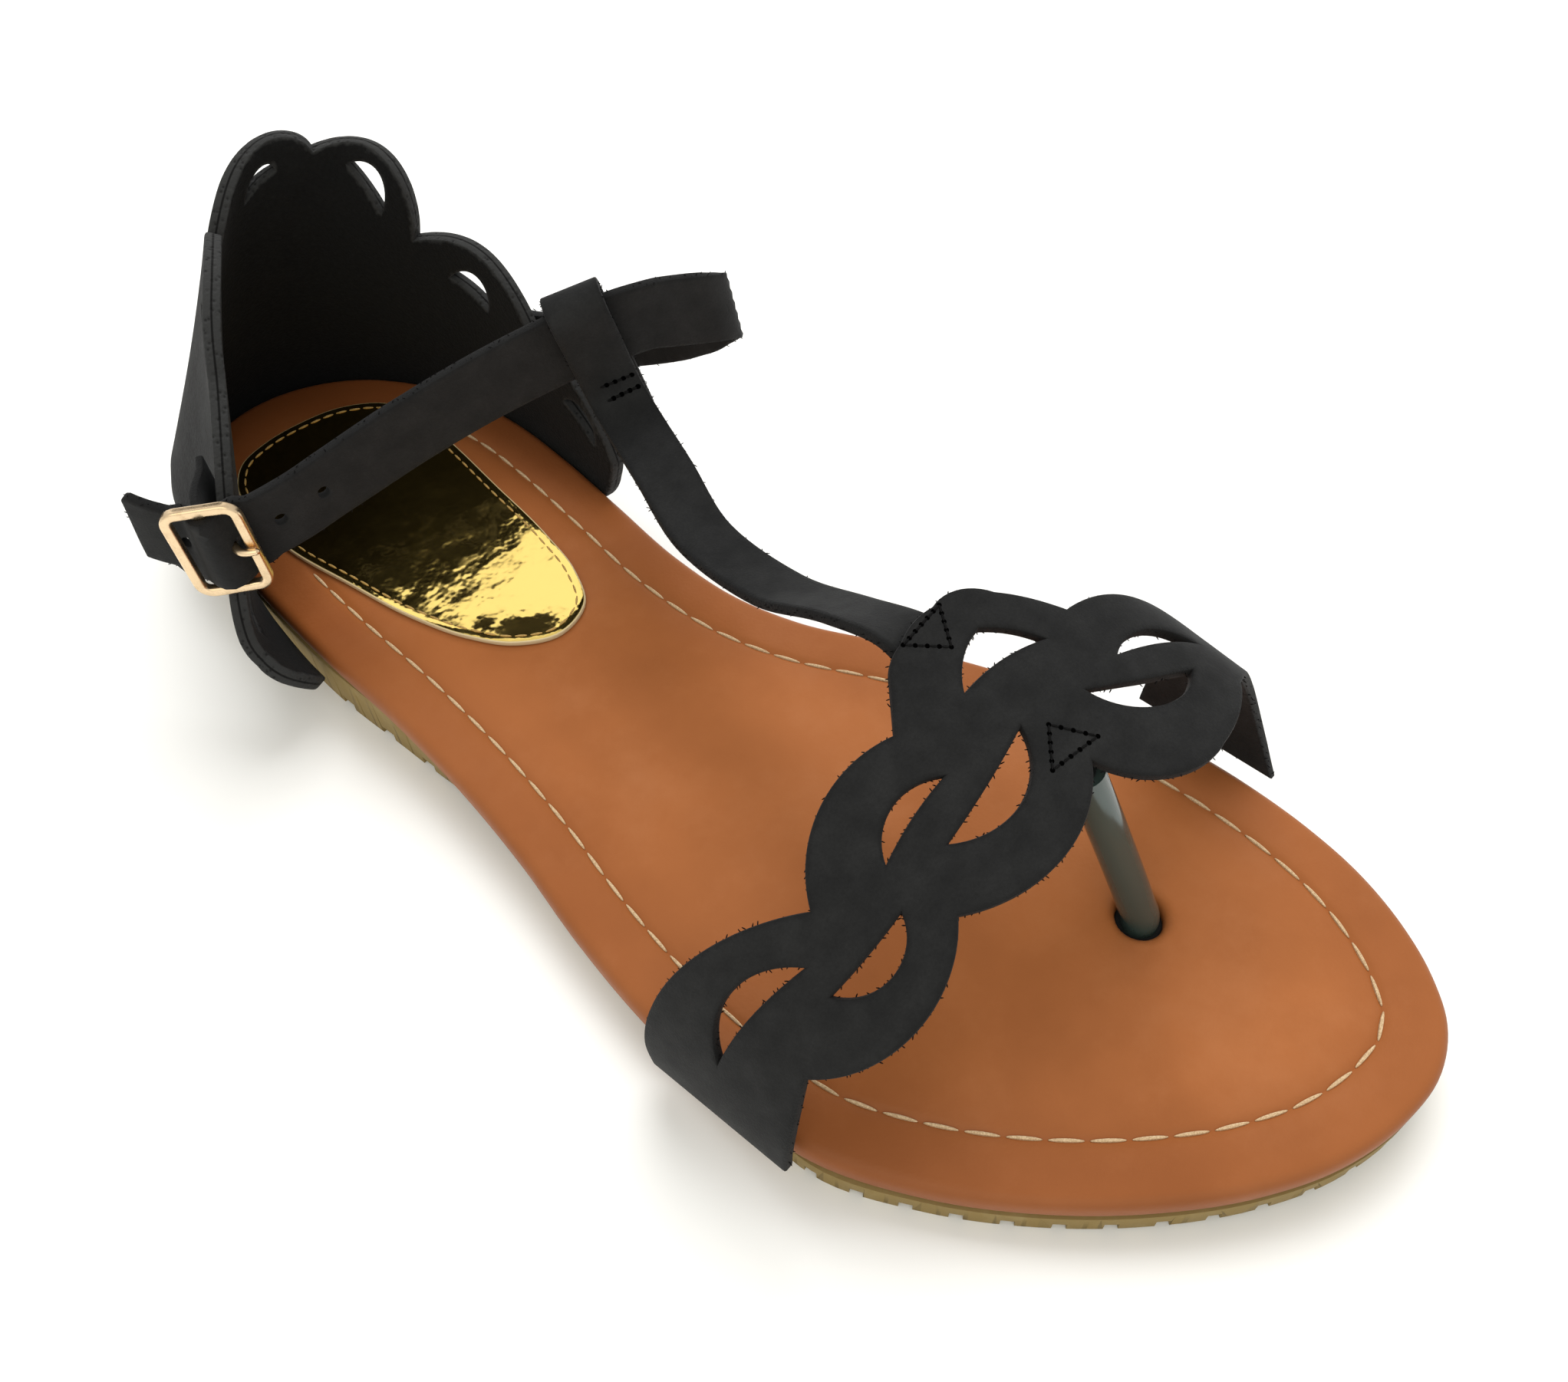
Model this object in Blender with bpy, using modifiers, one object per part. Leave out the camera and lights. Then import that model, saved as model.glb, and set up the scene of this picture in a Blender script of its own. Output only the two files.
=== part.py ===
"""Toe post sandal for the right foot, standing empty on its sole with its ankle strap buckled.

A scalloped vamp strap with half-moon cut-outs crosses the ball of the foot. A T-strap runs from its crown to a
loop round the ankle strap. A high scalloped heel counter leans slackly forwards and inwards, as in the photo.

Frame: +Z up, toe towards -Y, inner side of the foot towards +X. Tables are in millimetres, and s is the distance
from the heel towards the toe.
"""

import math

import bmesh
import bpy
import numpy as np
from mathutils import Vector
from mathutils.geometry import delaunay_2d_cdt

MM = 0.001
ORIGIN_S = 175.0  # the origin lies on the floor under the ball of the foot

FOREFOOT_TOP = 9.0
HEEL_RISE = 5.5
HEEL_SEAT_END = 60.0
BALL_START = 150.0
TOE_SPRING = 2.4
TOE_START = 205.0
TOE_END = 250.0
FOOTBED_THICK = 5.0
FOOTBED_ROUND = 1.6
GAP = 0.35
ARCH_LIFT = 2.6
ARCH_START = 88.0
ARCH_END = 138.0
WAIST_INSET = 2.2  # how far the outsole lies inside the footbed at the waist

RIB_HIGH = 1.7
RIB_DEEP = 2.6
TOE_RIB_PITCH = 7.0
TOE_RIB_WIDE = 2.0
HEEL_RIB_PITCH = 11.0
HEEL_RIB_WIDE = 3.2

PATCH_THICK = 0.8
VAMP_THICK = 1.8
COUNTER_THICK = 2.8
COUNTER_BOTTOM = 6.0
LEAN_START = 11.0
LEAN_HIGH = 60.0
FRONT_FLARE = 8.5  # how far the counter's outer front end is splayed

ANKLE_WIDE = 13.0
ANKLE_THICK = 1.8
T_WIDE = 9.8
T_THICK = 1.7
T_LOOP_BACK = 20.0
POST_RADIUS = 2.9
POST_HOLE_RADIUS = 3.7

BUCKLE_LONG = 12.8
BUCKLE_WIDE = 19.0
BUCKLE_WIRE = 1.8
BUCKLE_BAR = 1.2
BUCKLE_THICK = 1.7
BUCKLE_CORNER = 3.0
BUCKLE_AT = 15.8  # along the ankle strap, from its tip
BUCKLE_STAND = 2.7  # how far its frame lies outside the strap
BAR_DROP = 1.7  # how far its middle bar is bent inwards
STRAP_HUMP = 4.0
PRONG_RADIUS = 0.7
TAB_WIDE = 7.0
HOLE_RADIUS = 1.4

# Footbed edge seen from above: s, x, from the back of the heel round the outer side.
OUTLINE = [
    (3.5, -4), (5, -12), (10, -19.6), (19, -25.8), (32, -29.4), (48, -31.6), (68, -33.4), (90, -34.2),
    (108, -35.8), (124, -38.3), (140, -41.8), (156, -44.4), (174, -45.6), (190, -44), (204, -38.2), (217, -30),
    (228.5, -20.4), (238.5, -9.4), (245, 1), (248.6, 12), (249.2, 20), (246.8, 28), (242, 34), (235, 39.5),
    (226.5, 43.9), (216, 46.9), (204, 48.4), (188, 48.2), (172, 45.6), (156, 41), (140, 34.6), (126, 28),
    (114, 24.8), (100, 24.2), (82, 26.2), (65, 28.4), (50, 29.6), (36, 28.5), (24, 24.6), (14, 18.3),
    (7.5, 10.5), (4.2, 2.5),
]

# Heel patch edge: s, x.
PATCH = [
    (17, -8), (18.5, -14), (23, -18.5), (32, -21.5), (45, -22.6), (60, -21), (76, -18.5), (86, -15.2),
    (93.5, -10.5), (97.8, -3.5), (96, 4.2), (89.5, 8.2), (79, 10.9), (63, 13.4), (46, 16.2), (34, 17.4),
    (26, 15.5), (20, 9), (17.3, 0),
]

# Section of the vamp over the foot, outer face: x, z, from the outer side to the inner side.
VAMP_SECTION = [
    (-47.9, 2.5), (-48.2, 12), (-43, 26), (-30, 37.5), (-13, 44), (6, 47), (25, 47), (40, 42.5), (48.8, 31),
    (52.8, 16), (51.4, 3),
]
VAMP_S = 183.2
VAMP_SKEW = 0.156
VAMP_TAPER = 0.006
VAMP_CROWN_X = 15.2

# Vamp edges laid flat: along the section from its crown, towards the toe, bulge of the arc up to the next point.
VAMP_HEEL_EDGE = [
    (-86, -13, 4.6), (-45, -2.5, 4.2), (-20.6, -11, 0), (-15.5, -16.5, 0.6), (-10, -19.8, 0.6), (-2.5, -21.2, 1.6),
    (5.8, -18, 0.4), (11.9, -10.5, 4), (33, 2, 3), (62.5, -9, 0),
]
VAMP_TOE_EDGE = [
    (62.5, 16, -4.5), (23.5, 11.2, 0.8), (11, 16.8, 4), (-5.1, 8, 5.2), (-33.1, 11, 6.4), (-62.6, 10, 0.8),
    (-82.5, 12.5, 0),
]
# Vamp cut-outs: chord ends and the bulge of the arc.
VAMP_MOONS = [
    (-71, -1.3, -51, 1.5, 4.4), (-37.5, 5.8, -51.5, 6.3, 4.3), (-34.2, 0.3, -20.4, -2.8, 3.2),
    (-8, -1.3, -26.9, 3.8, 5), (18.3, 6.2, 2.8, 0.3, 4.8), (11.5, -1.3, 24.5, 2.7, 3),
]
VAMP_DART = [(-9.4, -9.4, 1), (-0.6, -15, 0.6), (5, -8.6, -0.8)]

# Heel counter: distance round the heel (minus is the outer side), lean of its wall 60 mm up in x and in s, and
# the power by which the lean grows with height.
COUNTER_LEAN = [
    (-97, 2, 3, 1.5), (-78, 8, 0, 1.3), (-66, 12.5, -2, 1.1), (-60, 15.5, -4, 1), (-45, 21.7, -1, 0.9),
    (-30, 26.7, 1, 0.95), (0, 22, 16, 1), (30, 7, 21, 1.1), (60, 1, 13, 1.1), (97, 0, 6, 1.1),
]
# Counter edge laid flat: round the heel, up the wall, bulge of the arc up to the next point.
COUNTER_EDGE = [
    (-81, 2.5, 0), (87, 1, 2), (95.5, 16, 4.5), (69.2, 33, 6.3), (32.8, 45.5, 8.3), (0, 64, 8.3), (-27, 55.5, 7.8),
    (-57, 46.5, 2.2), (-70, 21, 0.5), (-78.5, 13, 1), (-82.5, 9.5, 0.8),
]
COUNTER_MOONS = [
    (23, 50.5, 10, 60.5, 4.5), (55.6, 33, 44, 38, 5), (89.5, 17.5, 80, 23, 4.2), (-8.5, 62, -16, 58, 3.5),
    (-38, 49, -49, 44.5, 3.5), (-64, 19.5, -72.5, 12, 2),
]

# Ankle strap centre line from its tip at the buckle to its end on the counter: x, s, z, lean of its top outwards.
ANKLE_PATH = [
    (-46.2, 46.6, 42, 0), (-43.2, 51.6, 39.6, 0), (-39, 57.2, 38.2, 0), (-33, 61.7, 38.6, 0), (-26, 64.2, 39.8, 0),
    (-19, 65.8, 41.3, 0), (-4, 71, 46, 0), (10.4, 77.4, 50.5, 0), (23.9, 85.7, 55, 2), (31.4, 91.2, 57, 4),
    (37, 94.8, 56.6, 9), (41.8, 97.6, 55.8, 14), (44.6, 97.6, 54.4, 16), (45.2, 95.2, 52, 12), (43.8, 90.8, 48.6, 4),
    (42, 83, 44.6, 0), (40.4, 76, 41.2, 0), (37.7, 68, 37.8, 0), (35.2, 59, 34, 0), (34.7, 50, 31.5, 0),
]
ANKLE_LOOP_AT = 84.9  # along the strap, where the T-strap's loop holds it
FOLD_UP = np.array((-0.1, -0.14, 0.985))  # way across the strap's width at its fold: x, s, z
ANKLE_HOLES = [11.0, 18.6, 26.0, 34.0]

# T-strap centre line from under the vamp to the foot of its loop: x, s, z, turn of its width seen from above and
# rise of its inner edge, in degrees.
T_PATH = [
    (9.2, 167.5, 47.6, -9, -3), (9.2, 160, 49.2, -9, -15), (9.3, 152, 46.6, -10, -18), (10, 137, 40.5, -14, -8),
    (12.2, 120, 39.2, -20, -5), (16.8, 107.4, 42, -27, 2),
]

# Leather tab that holds the buckle, from under its middle bar to the counter's outer face: x, s, z.
TAB_PATH = [(-36.7, 58, 39), (-37, 54.5, 39), (-34.5, 50, 38.8), (-31.2, 46.5, 38.6), (-29.4, 43.6, 38.4)]

# Toe post centre line: x, s, z.
POST_PATH = [(11.5, 191.6, 39.6), (13.2, 197, 27), (15.3, 203, 12), (15.9, 204.2, 8.4), (15.9, 204.2, 4.4)]

COLOURS = {
    "outsole": ((0.62, 0.55, 0.36, 1), 0.7, 0),
    "footbed": ((0.36, 0.13, 0.05, 1), 0.45, 0),
    "heel_patch": ((0.72, 0.5, 0.14, 1), 0.12, 1),
    "vamp_strap": ((0.02, 0.021, 0.023, 1), 0.85, 0),
    "t_strap": ((0.02, 0.021, 0.023, 1), 0.85, 0),
    "ankle_strap": ((0.022, 0.023, 0.025, 1), 0.8, 0),
    "heel_counter": ((0.018, 0.019, 0.021, 1), 0.9, 0),
    "toe_post": ((0.3, 0.31, 0.32, 1), 0.3, 0),
    "buckle_frame": ((0.8, 0.55, 0.3, 1), 0.25, 1),
    "buckle_prong": ((0.8, 0.55, 0.3, 1), 0.25, 1),
    "buckle_tab": ((0.02, 0.021, 0.023, 1), 0.85, 0),
}


def smooth_step(value):
    """Ease from 0 to 1."""
    value = min(max(value, 0.0), 1.0)
    return value * value * (3 - 2 * value)


def toe_lift(s):
    """Rise of the sole towards its toe."""
    return TOE_SPRING * min(max((s - TOE_START) / (TOE_END - TOE_START), 0.0), 1.0) ** 2


def footbed_top(s):
    """Height of the footbed's upper face."""
    heel = 1 - smooth_step((s - HEEL_SEAT_END) / (BALL_START - HEEL_SEAT_END))
    return FOREFOOT_TOP + HEEL_RISE * heel + toe_lift(s)


def sole_bottom(s):
    """Height of the tread: flat under heel and ball, lifted at the arch and the toe."""
    along = min(max((s - ARCH_START) / (ARCH_END - ARCH_START), 0.0), 1.0)
    return ARCH_LIFT * math.sin(math.pi * along) ** 2 + toe_lift(s)


def world(x, s, z):
    """A table's point in the shared frame, in metres."""
    return Vector((x * MM, (ORIGIN_S - s) * MM, z * MM))


class Curve:
    """Smooth curve through a table's rows, read by its length."""

    def __init__(self, rows, closed=False, steps=24):
        points = np.array(rows, float)
        count = len(points)
        ring = [(i % count if closed else min(max(i, 0), count - 1)) for i in range(-1, count + 2)]
        around = points[ring]
        gaps = np.maximum(np.linalg.norm(np.diff(around, axis=0), axis=1), 1e-6)
        slopes = np.diff(around, axis=0) / gaps[:, None]
        weight = (gaps[:-1] / (gaps[:-1] + gaps[1:]))[:, None]
        tangents = slopes[:-1] * (1 - weight) + slopes[1:] * weight
        if not closed:
            tangents[0], tangents[count - 1] = slopes[1], slopes[count - 1]
        t = np.linspace(0, 1, steps, endpoint=False)[:, None]
        spans = []
        for i in range(count if closed else count - 1):
            p, q, size = around[i + 1], around[i + 2], gaps[i + 1]
            m, n = tangents[i] * size, tangents[(i + 1) % count] * size
            spans.append(
                p * (2 * t**3 - 3 * t**2 + 1) + m * (t**3 - 2 * t**2 + t) + q * (3 * t**2 - 2 * t**3) + n * (t**3 - t**2)
            )
        self.points = np.concatenate([*spans, points[:1] if closed else points[-1:]])
        steps_long = np.linalg.norm(np.diff(self.points[:, :3], axis=0), axis=1)
        self.lengths = np.concatenate([[0], np.cumsum(steps_long)])
        self.length = self.lengths[-1]
        self.closed = closed

    def at(self, length):
        if self.closed:
            length = length % self.length
        return np.array([np.interp(length, self.lengths, column) for column in self.points.T])

    def tangent(self, length):
        low, high = length - 0.2, length + 0.2
        if not self.closed:
            low, high = max(low, 0), min(high, self.length)
        step = (self.at(high) - self.at(low))[:3]
        return step / np.linalg.norm(step)

    def spaced(self, spacing):
        count = max(round(self.length / spacing), 3)
        return [self.at(self.length * i / count) for i in range(count)]


def arcs(rows, spacing, closed=True):
    """Flat outline made of arcs: each row is a point and the bulge to the left of the way to the next one."""
    outline = []
    ends = rows[1:] + (rows[:1] if closed else [])
    for (ax, ay, bulge), (bx, by, _) in zip(rows, ends):
        a, b = np.array((ax, ay), float), np.array((bx, by), float)
        chord = np.linalg.norm(b - a)
        left = np.array((ay - by, bx - ax)) / chord
        if abs(bulge) < 0.05:
            count = max(round(chord / spacing), 1)
            outline += [a + (b - a) * i / count for i in range(count)]
            continue
        radius = (chord**2 / 4 + bulge**2) / (2 * abs(bulge))
        half = 2 * math.atan2(2 * abs(bulge), chord)
        count = max(round(2 * half * radius / spacing), 3)
        side = math.copysign(1, bulge)
        centre = (a + b) / 2 + left * (bulge - side * radius)
        along = (b - a) / chord
        for i in range(count):
            angle = half * (2 * i / count - 1)
            outline.append(centre + radius * (along * math.sin(angle) + left * side * math.cos(angle)))
    return outline


def moon(ax, ay, bx, by, bulge, spacing):
    """Half-moon cut-out: a straight chord and an arc to the right of the way from a to b."""
    return arcs([(ax, ay, -bulge), (bx, by, 0.4)], spacing)


def circle(x, y, radius, count=10):
    return [np.array((x + radius * math.cos(a), y + radius * math.sin(a))) for a in np.arange(count) * math.tau / count]


def clear_of(point, loops, room):
    return all(np.min(np.linalg.norm(loop - point, axis=1)) > room for loop in loops)


def flat_mesh(outline, holes, spacing, extra=()):
    """Triangles of a flat outline with holes, with inner points on a triangular grid and at extra places."""
    loops = [np.array(loop) for loop in [outline, *holes]]
    points, edges = [], []
    for loop in loops:
        first = len(points)
        points += [Vector(p) for p in loop]
        edges += [(first + i, first + (i + 1) % len(loop)) for i in range(len(loop))]
    low, high = loops[0].min(axis=0), loops[0].max(axis=0)
    rows = int((high[1] - low[1]) / (spacing * 0.866)) + 1
    columns = int((high[0] - low[0]) / spacing) + 2
    for row in range(rows):
        for column in range(columns):
            point = low + np.array(((column - 0.5 * (row % 2)) * spacing, (row + 0.5) * spacing * 0.866))
            near_extra = len(extra) and np.min(np.linalg.norm(np.array(extra) - point, axis=1)) < spacing * 0.6
            if clear_of(point, loops, spacing * 0.6) and not near_extra:
                points.append(Vector(point))
    points += [Vector(point) for point in extra if clear_of(np.array(point), loops, 0.8)]
    made = delaunay_2d_cdt(points, edges, [], 4, 1e-5)
    faces = [f for f in made[2] if inside([made[0][i] for i in f], loops)]
    used = sorted({i for face in faces for i in face})
    index = {old: new for new, old in enumerate(used)}
    return [made[0][i] for i in used], [[index[i] for i in face] for face in faces]


def inside(corners, loops):
    """True for a triangle within the outline and outside every hole."""
    x = sum(c[0] for c in corners) / 3
    y = sum(c[1] for c in corners) / 3
    return crossings(x, y, loops[0]) % 2 == 1 and all(crossings(x, y, loop) % 2 == 0 for loop in loops[1:])


def crossings(x, y, loop):
    a, b = loop, np.roll(loop, -1, axis=0)
    spans = (a[:, 1] > y) != (b[:, 1] > y)
    a, b = a[spans], b[spans]
    return int(np.sum(a[:, 0] + (y - a[:, 1]) / (b[:, 1] - a[:, 1]) * (b[:, 0] - a[:, 0]) > x))


def material(name):
    colour, roughness, metallic = COLOURS[name]
    made = bpy.data.materials.new(name)
    made.use_nodes = True
    shader = made.node_tree.nodes["Principled BSDF"]
    shader.inputs["Base Color"].default_value = colour
    shader.inputs["Roughness"].default_value = roughness
    shader.inputs["Metallic"].default_value = metallic
    made.diffuse_color = colour
    return made


def add_object(name, data, collection):
    obj = bpy.data.objects.new(name, data)
    collection.objects.link(obj)
    if name in COLOURS:
        data.materials.append(material(name))
    return obj


def mesh_object(name, bm, collection):
    mesh = bpy.data.meshes.new(name)
    bm.to_mesh(mesh)
    bm.free()
    return add_object(name, mesh, collection)


def add_solidify(obj, thick, offset):
    modifier = obj.modifiers.new("thickness", "SOLIDIFY")
    modifier.thickness = thick * MM
    modifier.offset = offset
    modifier.use_even_offset = True


def add_bevel(obj, width, segments):
    modifier = obj.modifiers.new("rounding", "BEVEL")
    modifier.width = width * MM
    modifier.segments = segments
    modifier.limit_method = "ANGLE"
    modifier.angle_limit = math.radians(50)


def sheet(name, outline, holes, spacing, place, collection, flip=False, extra=()):
    """Open surface of a flat pattern laid in space by place(u, v)."""
    points, faces = flat_mesh(outline, holes, spacing, extra)
    bm = bmesh.new()
    verts = [bm.verts.new(place(p[0], p[1])) for p in points]
    for face in faces:
        bm.faces.new([verts[i] for i in (reversed(face) if flip else face)])
    return mesh_object(name, bm, collection)


def slab(name, outline, holes, spacing, top, bottom, collection):
    """Solid between two heights over a flat outline of s and x."""
    points, faces = flat_mesh(outline, holes, spacing)
    bm = bmesh.new()
    verts = [bm.verts.new(world(p[1], p[0], top(p[0]))) for p in points]
    for face in faces:
        bm.faces.new([verts[i] for i in face])
    made = bmesh.ops.extrude_face_region(bm, geom=bm.faces[:])
    for vert in made["geom"]:
        if isinstance(vert, bmesh.types.BMVert):
            vert.co.z = bottom(ORIGIN_S - vert.co.y / MM) * MM
    bmesh.ops.recalc_face_normals(bm, faces=bm.faces[:])
    return mesh_object(name, bm, collection)


def footbed_edge(outset=0.0):
    """Footbed outline as a smooth curve of s and x, set outwards."""
    edge = Curve(OUTLINE, closed=True)
    if not outset:
        return edge
    rows = []
    for i in range(140):
        length = edge.length * i / 140
        (s, x), (ts, tx) = edge.at(length), edge.tangent(length)
        rows.append((s + tx * -outset, x + ts * outset) if turn_out(s, x, ts, tx) else (s + tx * outset, x - ts * outset))
    return Curve(rows, closed=True, steps=6)


def turn_out(s, x, ts, tx):
    """True where the left of the way along the edge is its outer side."""
    return (s - 125) * -tx + (x - 3) * ts > 0


def outsole_edge():
    """Footbed outline drawn in at the waist."""
    rows = []
    for s, x in OUTLINE:
        inset = WAIST_INSET * smooth_step((s - 82) / 16) * (1 - smooth_step((s - 172) / 18))
        rows.append((s, x - math.copysign(inset, x)))
    return Curve(rows, closed=True)


def build_outsole(parts, helpers):
    edge = outsole_edge()
    sole = slab(
        "outsole", [np.array(p) for p in edge.spaced(4.6)], [], 13.0,
        lambda s: footbed_top(s) - FOOTBED_THICK - GAP, sole_bottom, parts,
    )
    bm = bmesh.new()
    length = 4.0
    while length < edge.length - 4:
        s, x = edge.at(length)
        ts, tx = edge.tangent(length)
        heel = s < ARCH_END
        wide = HEEL_RIB_WIDE if heel else TOE_RIB_WIDE
        out = 1.0 if turn_out(s, x, ts, tx) else -1.0
        corners = []
        for along, across in ((-wide, -RIB_DEEP), (wide, -RIB_DEEP), (wide, 2.0), (-wide, 2.0)):
            corners.append((s + ts * along / 2 - tx * out * across, x + tx * along / 2 + ts * out * across))
        low, high = sole_bottom(s) - 2, sole_bottom(s) + RIB_HIGH
        bottom = [bm.verts.new(world(cx, cs, low)) for cs, cx in corners]
        top = [bm.verts.new(world(cx, cs, high)) for cs, cx in corners]
        bm.faces.new(bottom)
        bm.faces.new(top)
        for i in range(4):
            bm.faces.new((bottom[i], bottom[(i + 1) % 4], top[(i + 1) % 4], top[i]))
        length += HEEL_RIB_PITCH if heel else TOE_RIB_PITCH
    bmesh.ops.recalc_face_normals(bm, faces=bm.faces[:])
    cutter = mesh_object("rim_grooves", bm, helpers)
    cutter.hide_render = True
    cutter.display_type = "WIRE"
    modifier = sole.modifiers.new("rim_grooves", "BOOLEAN")
    modifier.operation = "DIFFERENCE"
    modifier.solver = "EXACT"
    modifier.object = cutter


def build_footbed(parts):
    edge = Curve(OUTLINE, closed=True)
    x, s, _ = POST_PATH[-1]
    bed = slab(
        "footbed", [np.array(p) for p in edge.spaced(5.0)], [circle(s, x, POST_HOLE_RADIUS)], 13.0,
        footbed_top, lambda s: footbed_top(s) - FOOTBED_THICK, parts,
    )
    add_bevel(bed, FOOTBED_ROUND, 2)


def build_heel_patch(parts):
    edge = Curve(PATCH, closed=True)
    patch = sheet(
        "heel_patch", [np.array(p) for p in edge.spaced(4.5)], [], 9.0,
        lambda s, x: world(x, s, footbed_top(s) + GAP), parts,
    )
    bm = bmesh.new()
    bm.from_mesh(patch.data)
    up = sum(face.normal.z for face in bm.faces) > 0
    bm.free()
    add_solidify(patch, PATCH_THICK, 1 if up else -1)


class Vamp:
    """Surface of the vamp strap, read by its flat pattern."""

    def __init__(self):
        self.section = Curve(VAMP_SECTION)
        over = slice(48, -48)  # the flanks' overhang left out, so that x only rises
        self.crown = np.interp(VAMP_CROWN_X, self.section.points[over, 0], self.section.lengths[over])

    def place(self, along, toe):
        x, z = self.section.at(self.crown + along)
        high = 2.5 + (z - 2.5) * (1 - VAMP_TAPER * toe)
        return world(x, VAMP_S + VAMP_SKEW * x + toe, high)


def build_vamp(parts):
    surface = Vamp()
    outline = arcs(
        [(a, b, -bulge) for a, b, bulge in VAMP_HEEL_EDGE] + [(a, b, -bulge) for a, b, bulge in VAMP_TOE_EDGE], 2.6
    )
    holes = [moon(*row, 2.4) for row in VAMP_MOONS]
    holes.append(arcs([(a, b, -bulge) for a, b, bulge in VAMP_DART], 2.4))
    strap = sheet("vamp_strap", outline, holes, 5.0, surface.place, parts, flip=True)
    add_solidify(strap, VAMP_THICK, -1)


class Counter:
    """Inner face of the heel counter, read by its flat pattern."""

    def __init__(self):
        self.base = footbed_edge(GAP + 0.1)
        self.back = self.base.lengths[np.argmin(self.base.points[:, 0])]
        rows = np.array(COUNTER_LEAN)
        self.rounds, self.lean = rows[:, 0], rows[:, 1:]
        self.slopes = np.gradient(self.lean, self.rounds, axis=0)

    def leaned(self, around):
        around = min(max(around, self.rounds[0]), self.rounds[-1])
        i = min(np.searchsorted(self.rounds, around, side="right") - 1, len(self.rounds) - 2)
        size = self.rounds[i + 1] - self.rounds[i]
        t = (around - self.rounds[i]) / size
        return (
            self.lean[i] * (2 * t**3 - 3 * t**2 + 1) + self.slopes[i] * size * (t**3 - 2 * t**2 + t)
            + self.lean[i + 1] * (3 * t**2 - 2 * t**3) + self.slopes[i + 1] * size * (t**3 - t**2)
        )

    def place(self, around, up):
        s, x = self.base.at(self.back - around)
        x -= FRONT_FLARE * smooth_step((-around - 56) / 24) * (0.05 + 0.95 * smooth_step(up / 16))
        dx, ds, power = self.leaned(around)
        share = max((up - LEAN_START) / (LEAN_HIGH - LEAN_START), 0.0) ** power
        dx, ds = dx * share, ds * share
        high = math.sqrt(max(up * up - 0.6 * (dx * dx + ds * ds), 0.3 * up * up))
        return world(x + dx, s + ds, COUNTER_BOTTOM + high)


def build_counter(parts):
    surface = Counter()
    outline = arcs([(a, b, -bulge) for a, b, bulge in COUNTER_EDGE], 3.0)
    holes = [moon(*row, 2.6) for row in COUNTER_MOONS]
    counter = sheet("heel_counter", outline, holes, 5.6, surface.place, parts, flip=True)
    add_solidify(counter, COUNTER_THICK, 1)


class Ankle:
    """Centre surface of the ankle strap: along its length and across its width."""

    def __init__(self):
        self.path = Curve(ANKLE_PATH)

    def frame(self, length):
        """Centre, way along, way up across the width, way out."""
        along = self.path.tangent(length)
        *centre, lean = self.path.at(length)
        up = np.array((0, 0, 1.0)) - along * along[2]
        up /= np.linalg.norm(up)
        out = np.cross(up, along)
        lean = math.radians(lean)
        up = up * math.cos(lean) + out * math.sin(lean)
        fold = smooth_step((length - 93) / 8) * (1 - smooth_step((length - 120) / 10))
        up = up * (1 - fold) + FOLD_UP * fold
        up /= np.linalg.norm(up)
        out = np.cross(up, along)
        return np.array(centre), along, up, out / np.linalg.norm(out)

    def wave(self, length):
        """The strap rises over the buckle's middle bar."""
        near = min(abs(length - BUCKLE_AT) / (BUCKLE_LONG / 2 - BUCKLE_WIRE), 1.0)
        return STRAP_HUMP * (0.5 + 0.5 * math.cos(math.pi * near))

    def place(self, length, across):
        centre, _, up, out = self.frame(length)
        return world(*(centre + up * across + out * self.wave(length)))


def build_ankle(parts, ankle):
    half, end = ANKLE_WIDE / 2, ankle.path.length
    rows = [
        (0.5, half - 1, 0), (4.5, -half, 0), (BUCKLE_AT - 9, -half, 0), (BUCKLE_AT + 9, -half, 0), (end - 2, -half, 0),
        (end, -half + 2, 0), (end, half - 2, 0), (end - 2, half, 0), (BUCKLE_AT + 9, half, 0),
        (BUCKLE_AT - 9, half, 0), (2, half, 0),
    ]
    outline = []
    for i, (a, b, _) in enumerate(rows):
        c, d, _ = rows[(i + 1) % len(rows)]
        spacing = 1.5 if max(a, c) < BUCKLE_AT + 10 else 3.6
        count = max(round(math.hypot(c - a, d - b) / spacing), 1)
        outline += [np.array((a + (c - a) * k / count, b + (d - b) * k / count)) for k in range(count)]
    holes = [circle(at, 0, HOLE_RADIUS, 8) for at in ANKLE_HOLES]
    bent = [(BUCKLE_AT + 1.5 * i, across) for i in range(-6, 7) for across in (-half * 0.5, 0, half * 0.5)]
    strap = sheet("ankle_strap", outline, holes, 4.6, ankle.place, parts, extra=bent)
    add_solidify(strap, ANKLE_THICK, 0)


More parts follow.
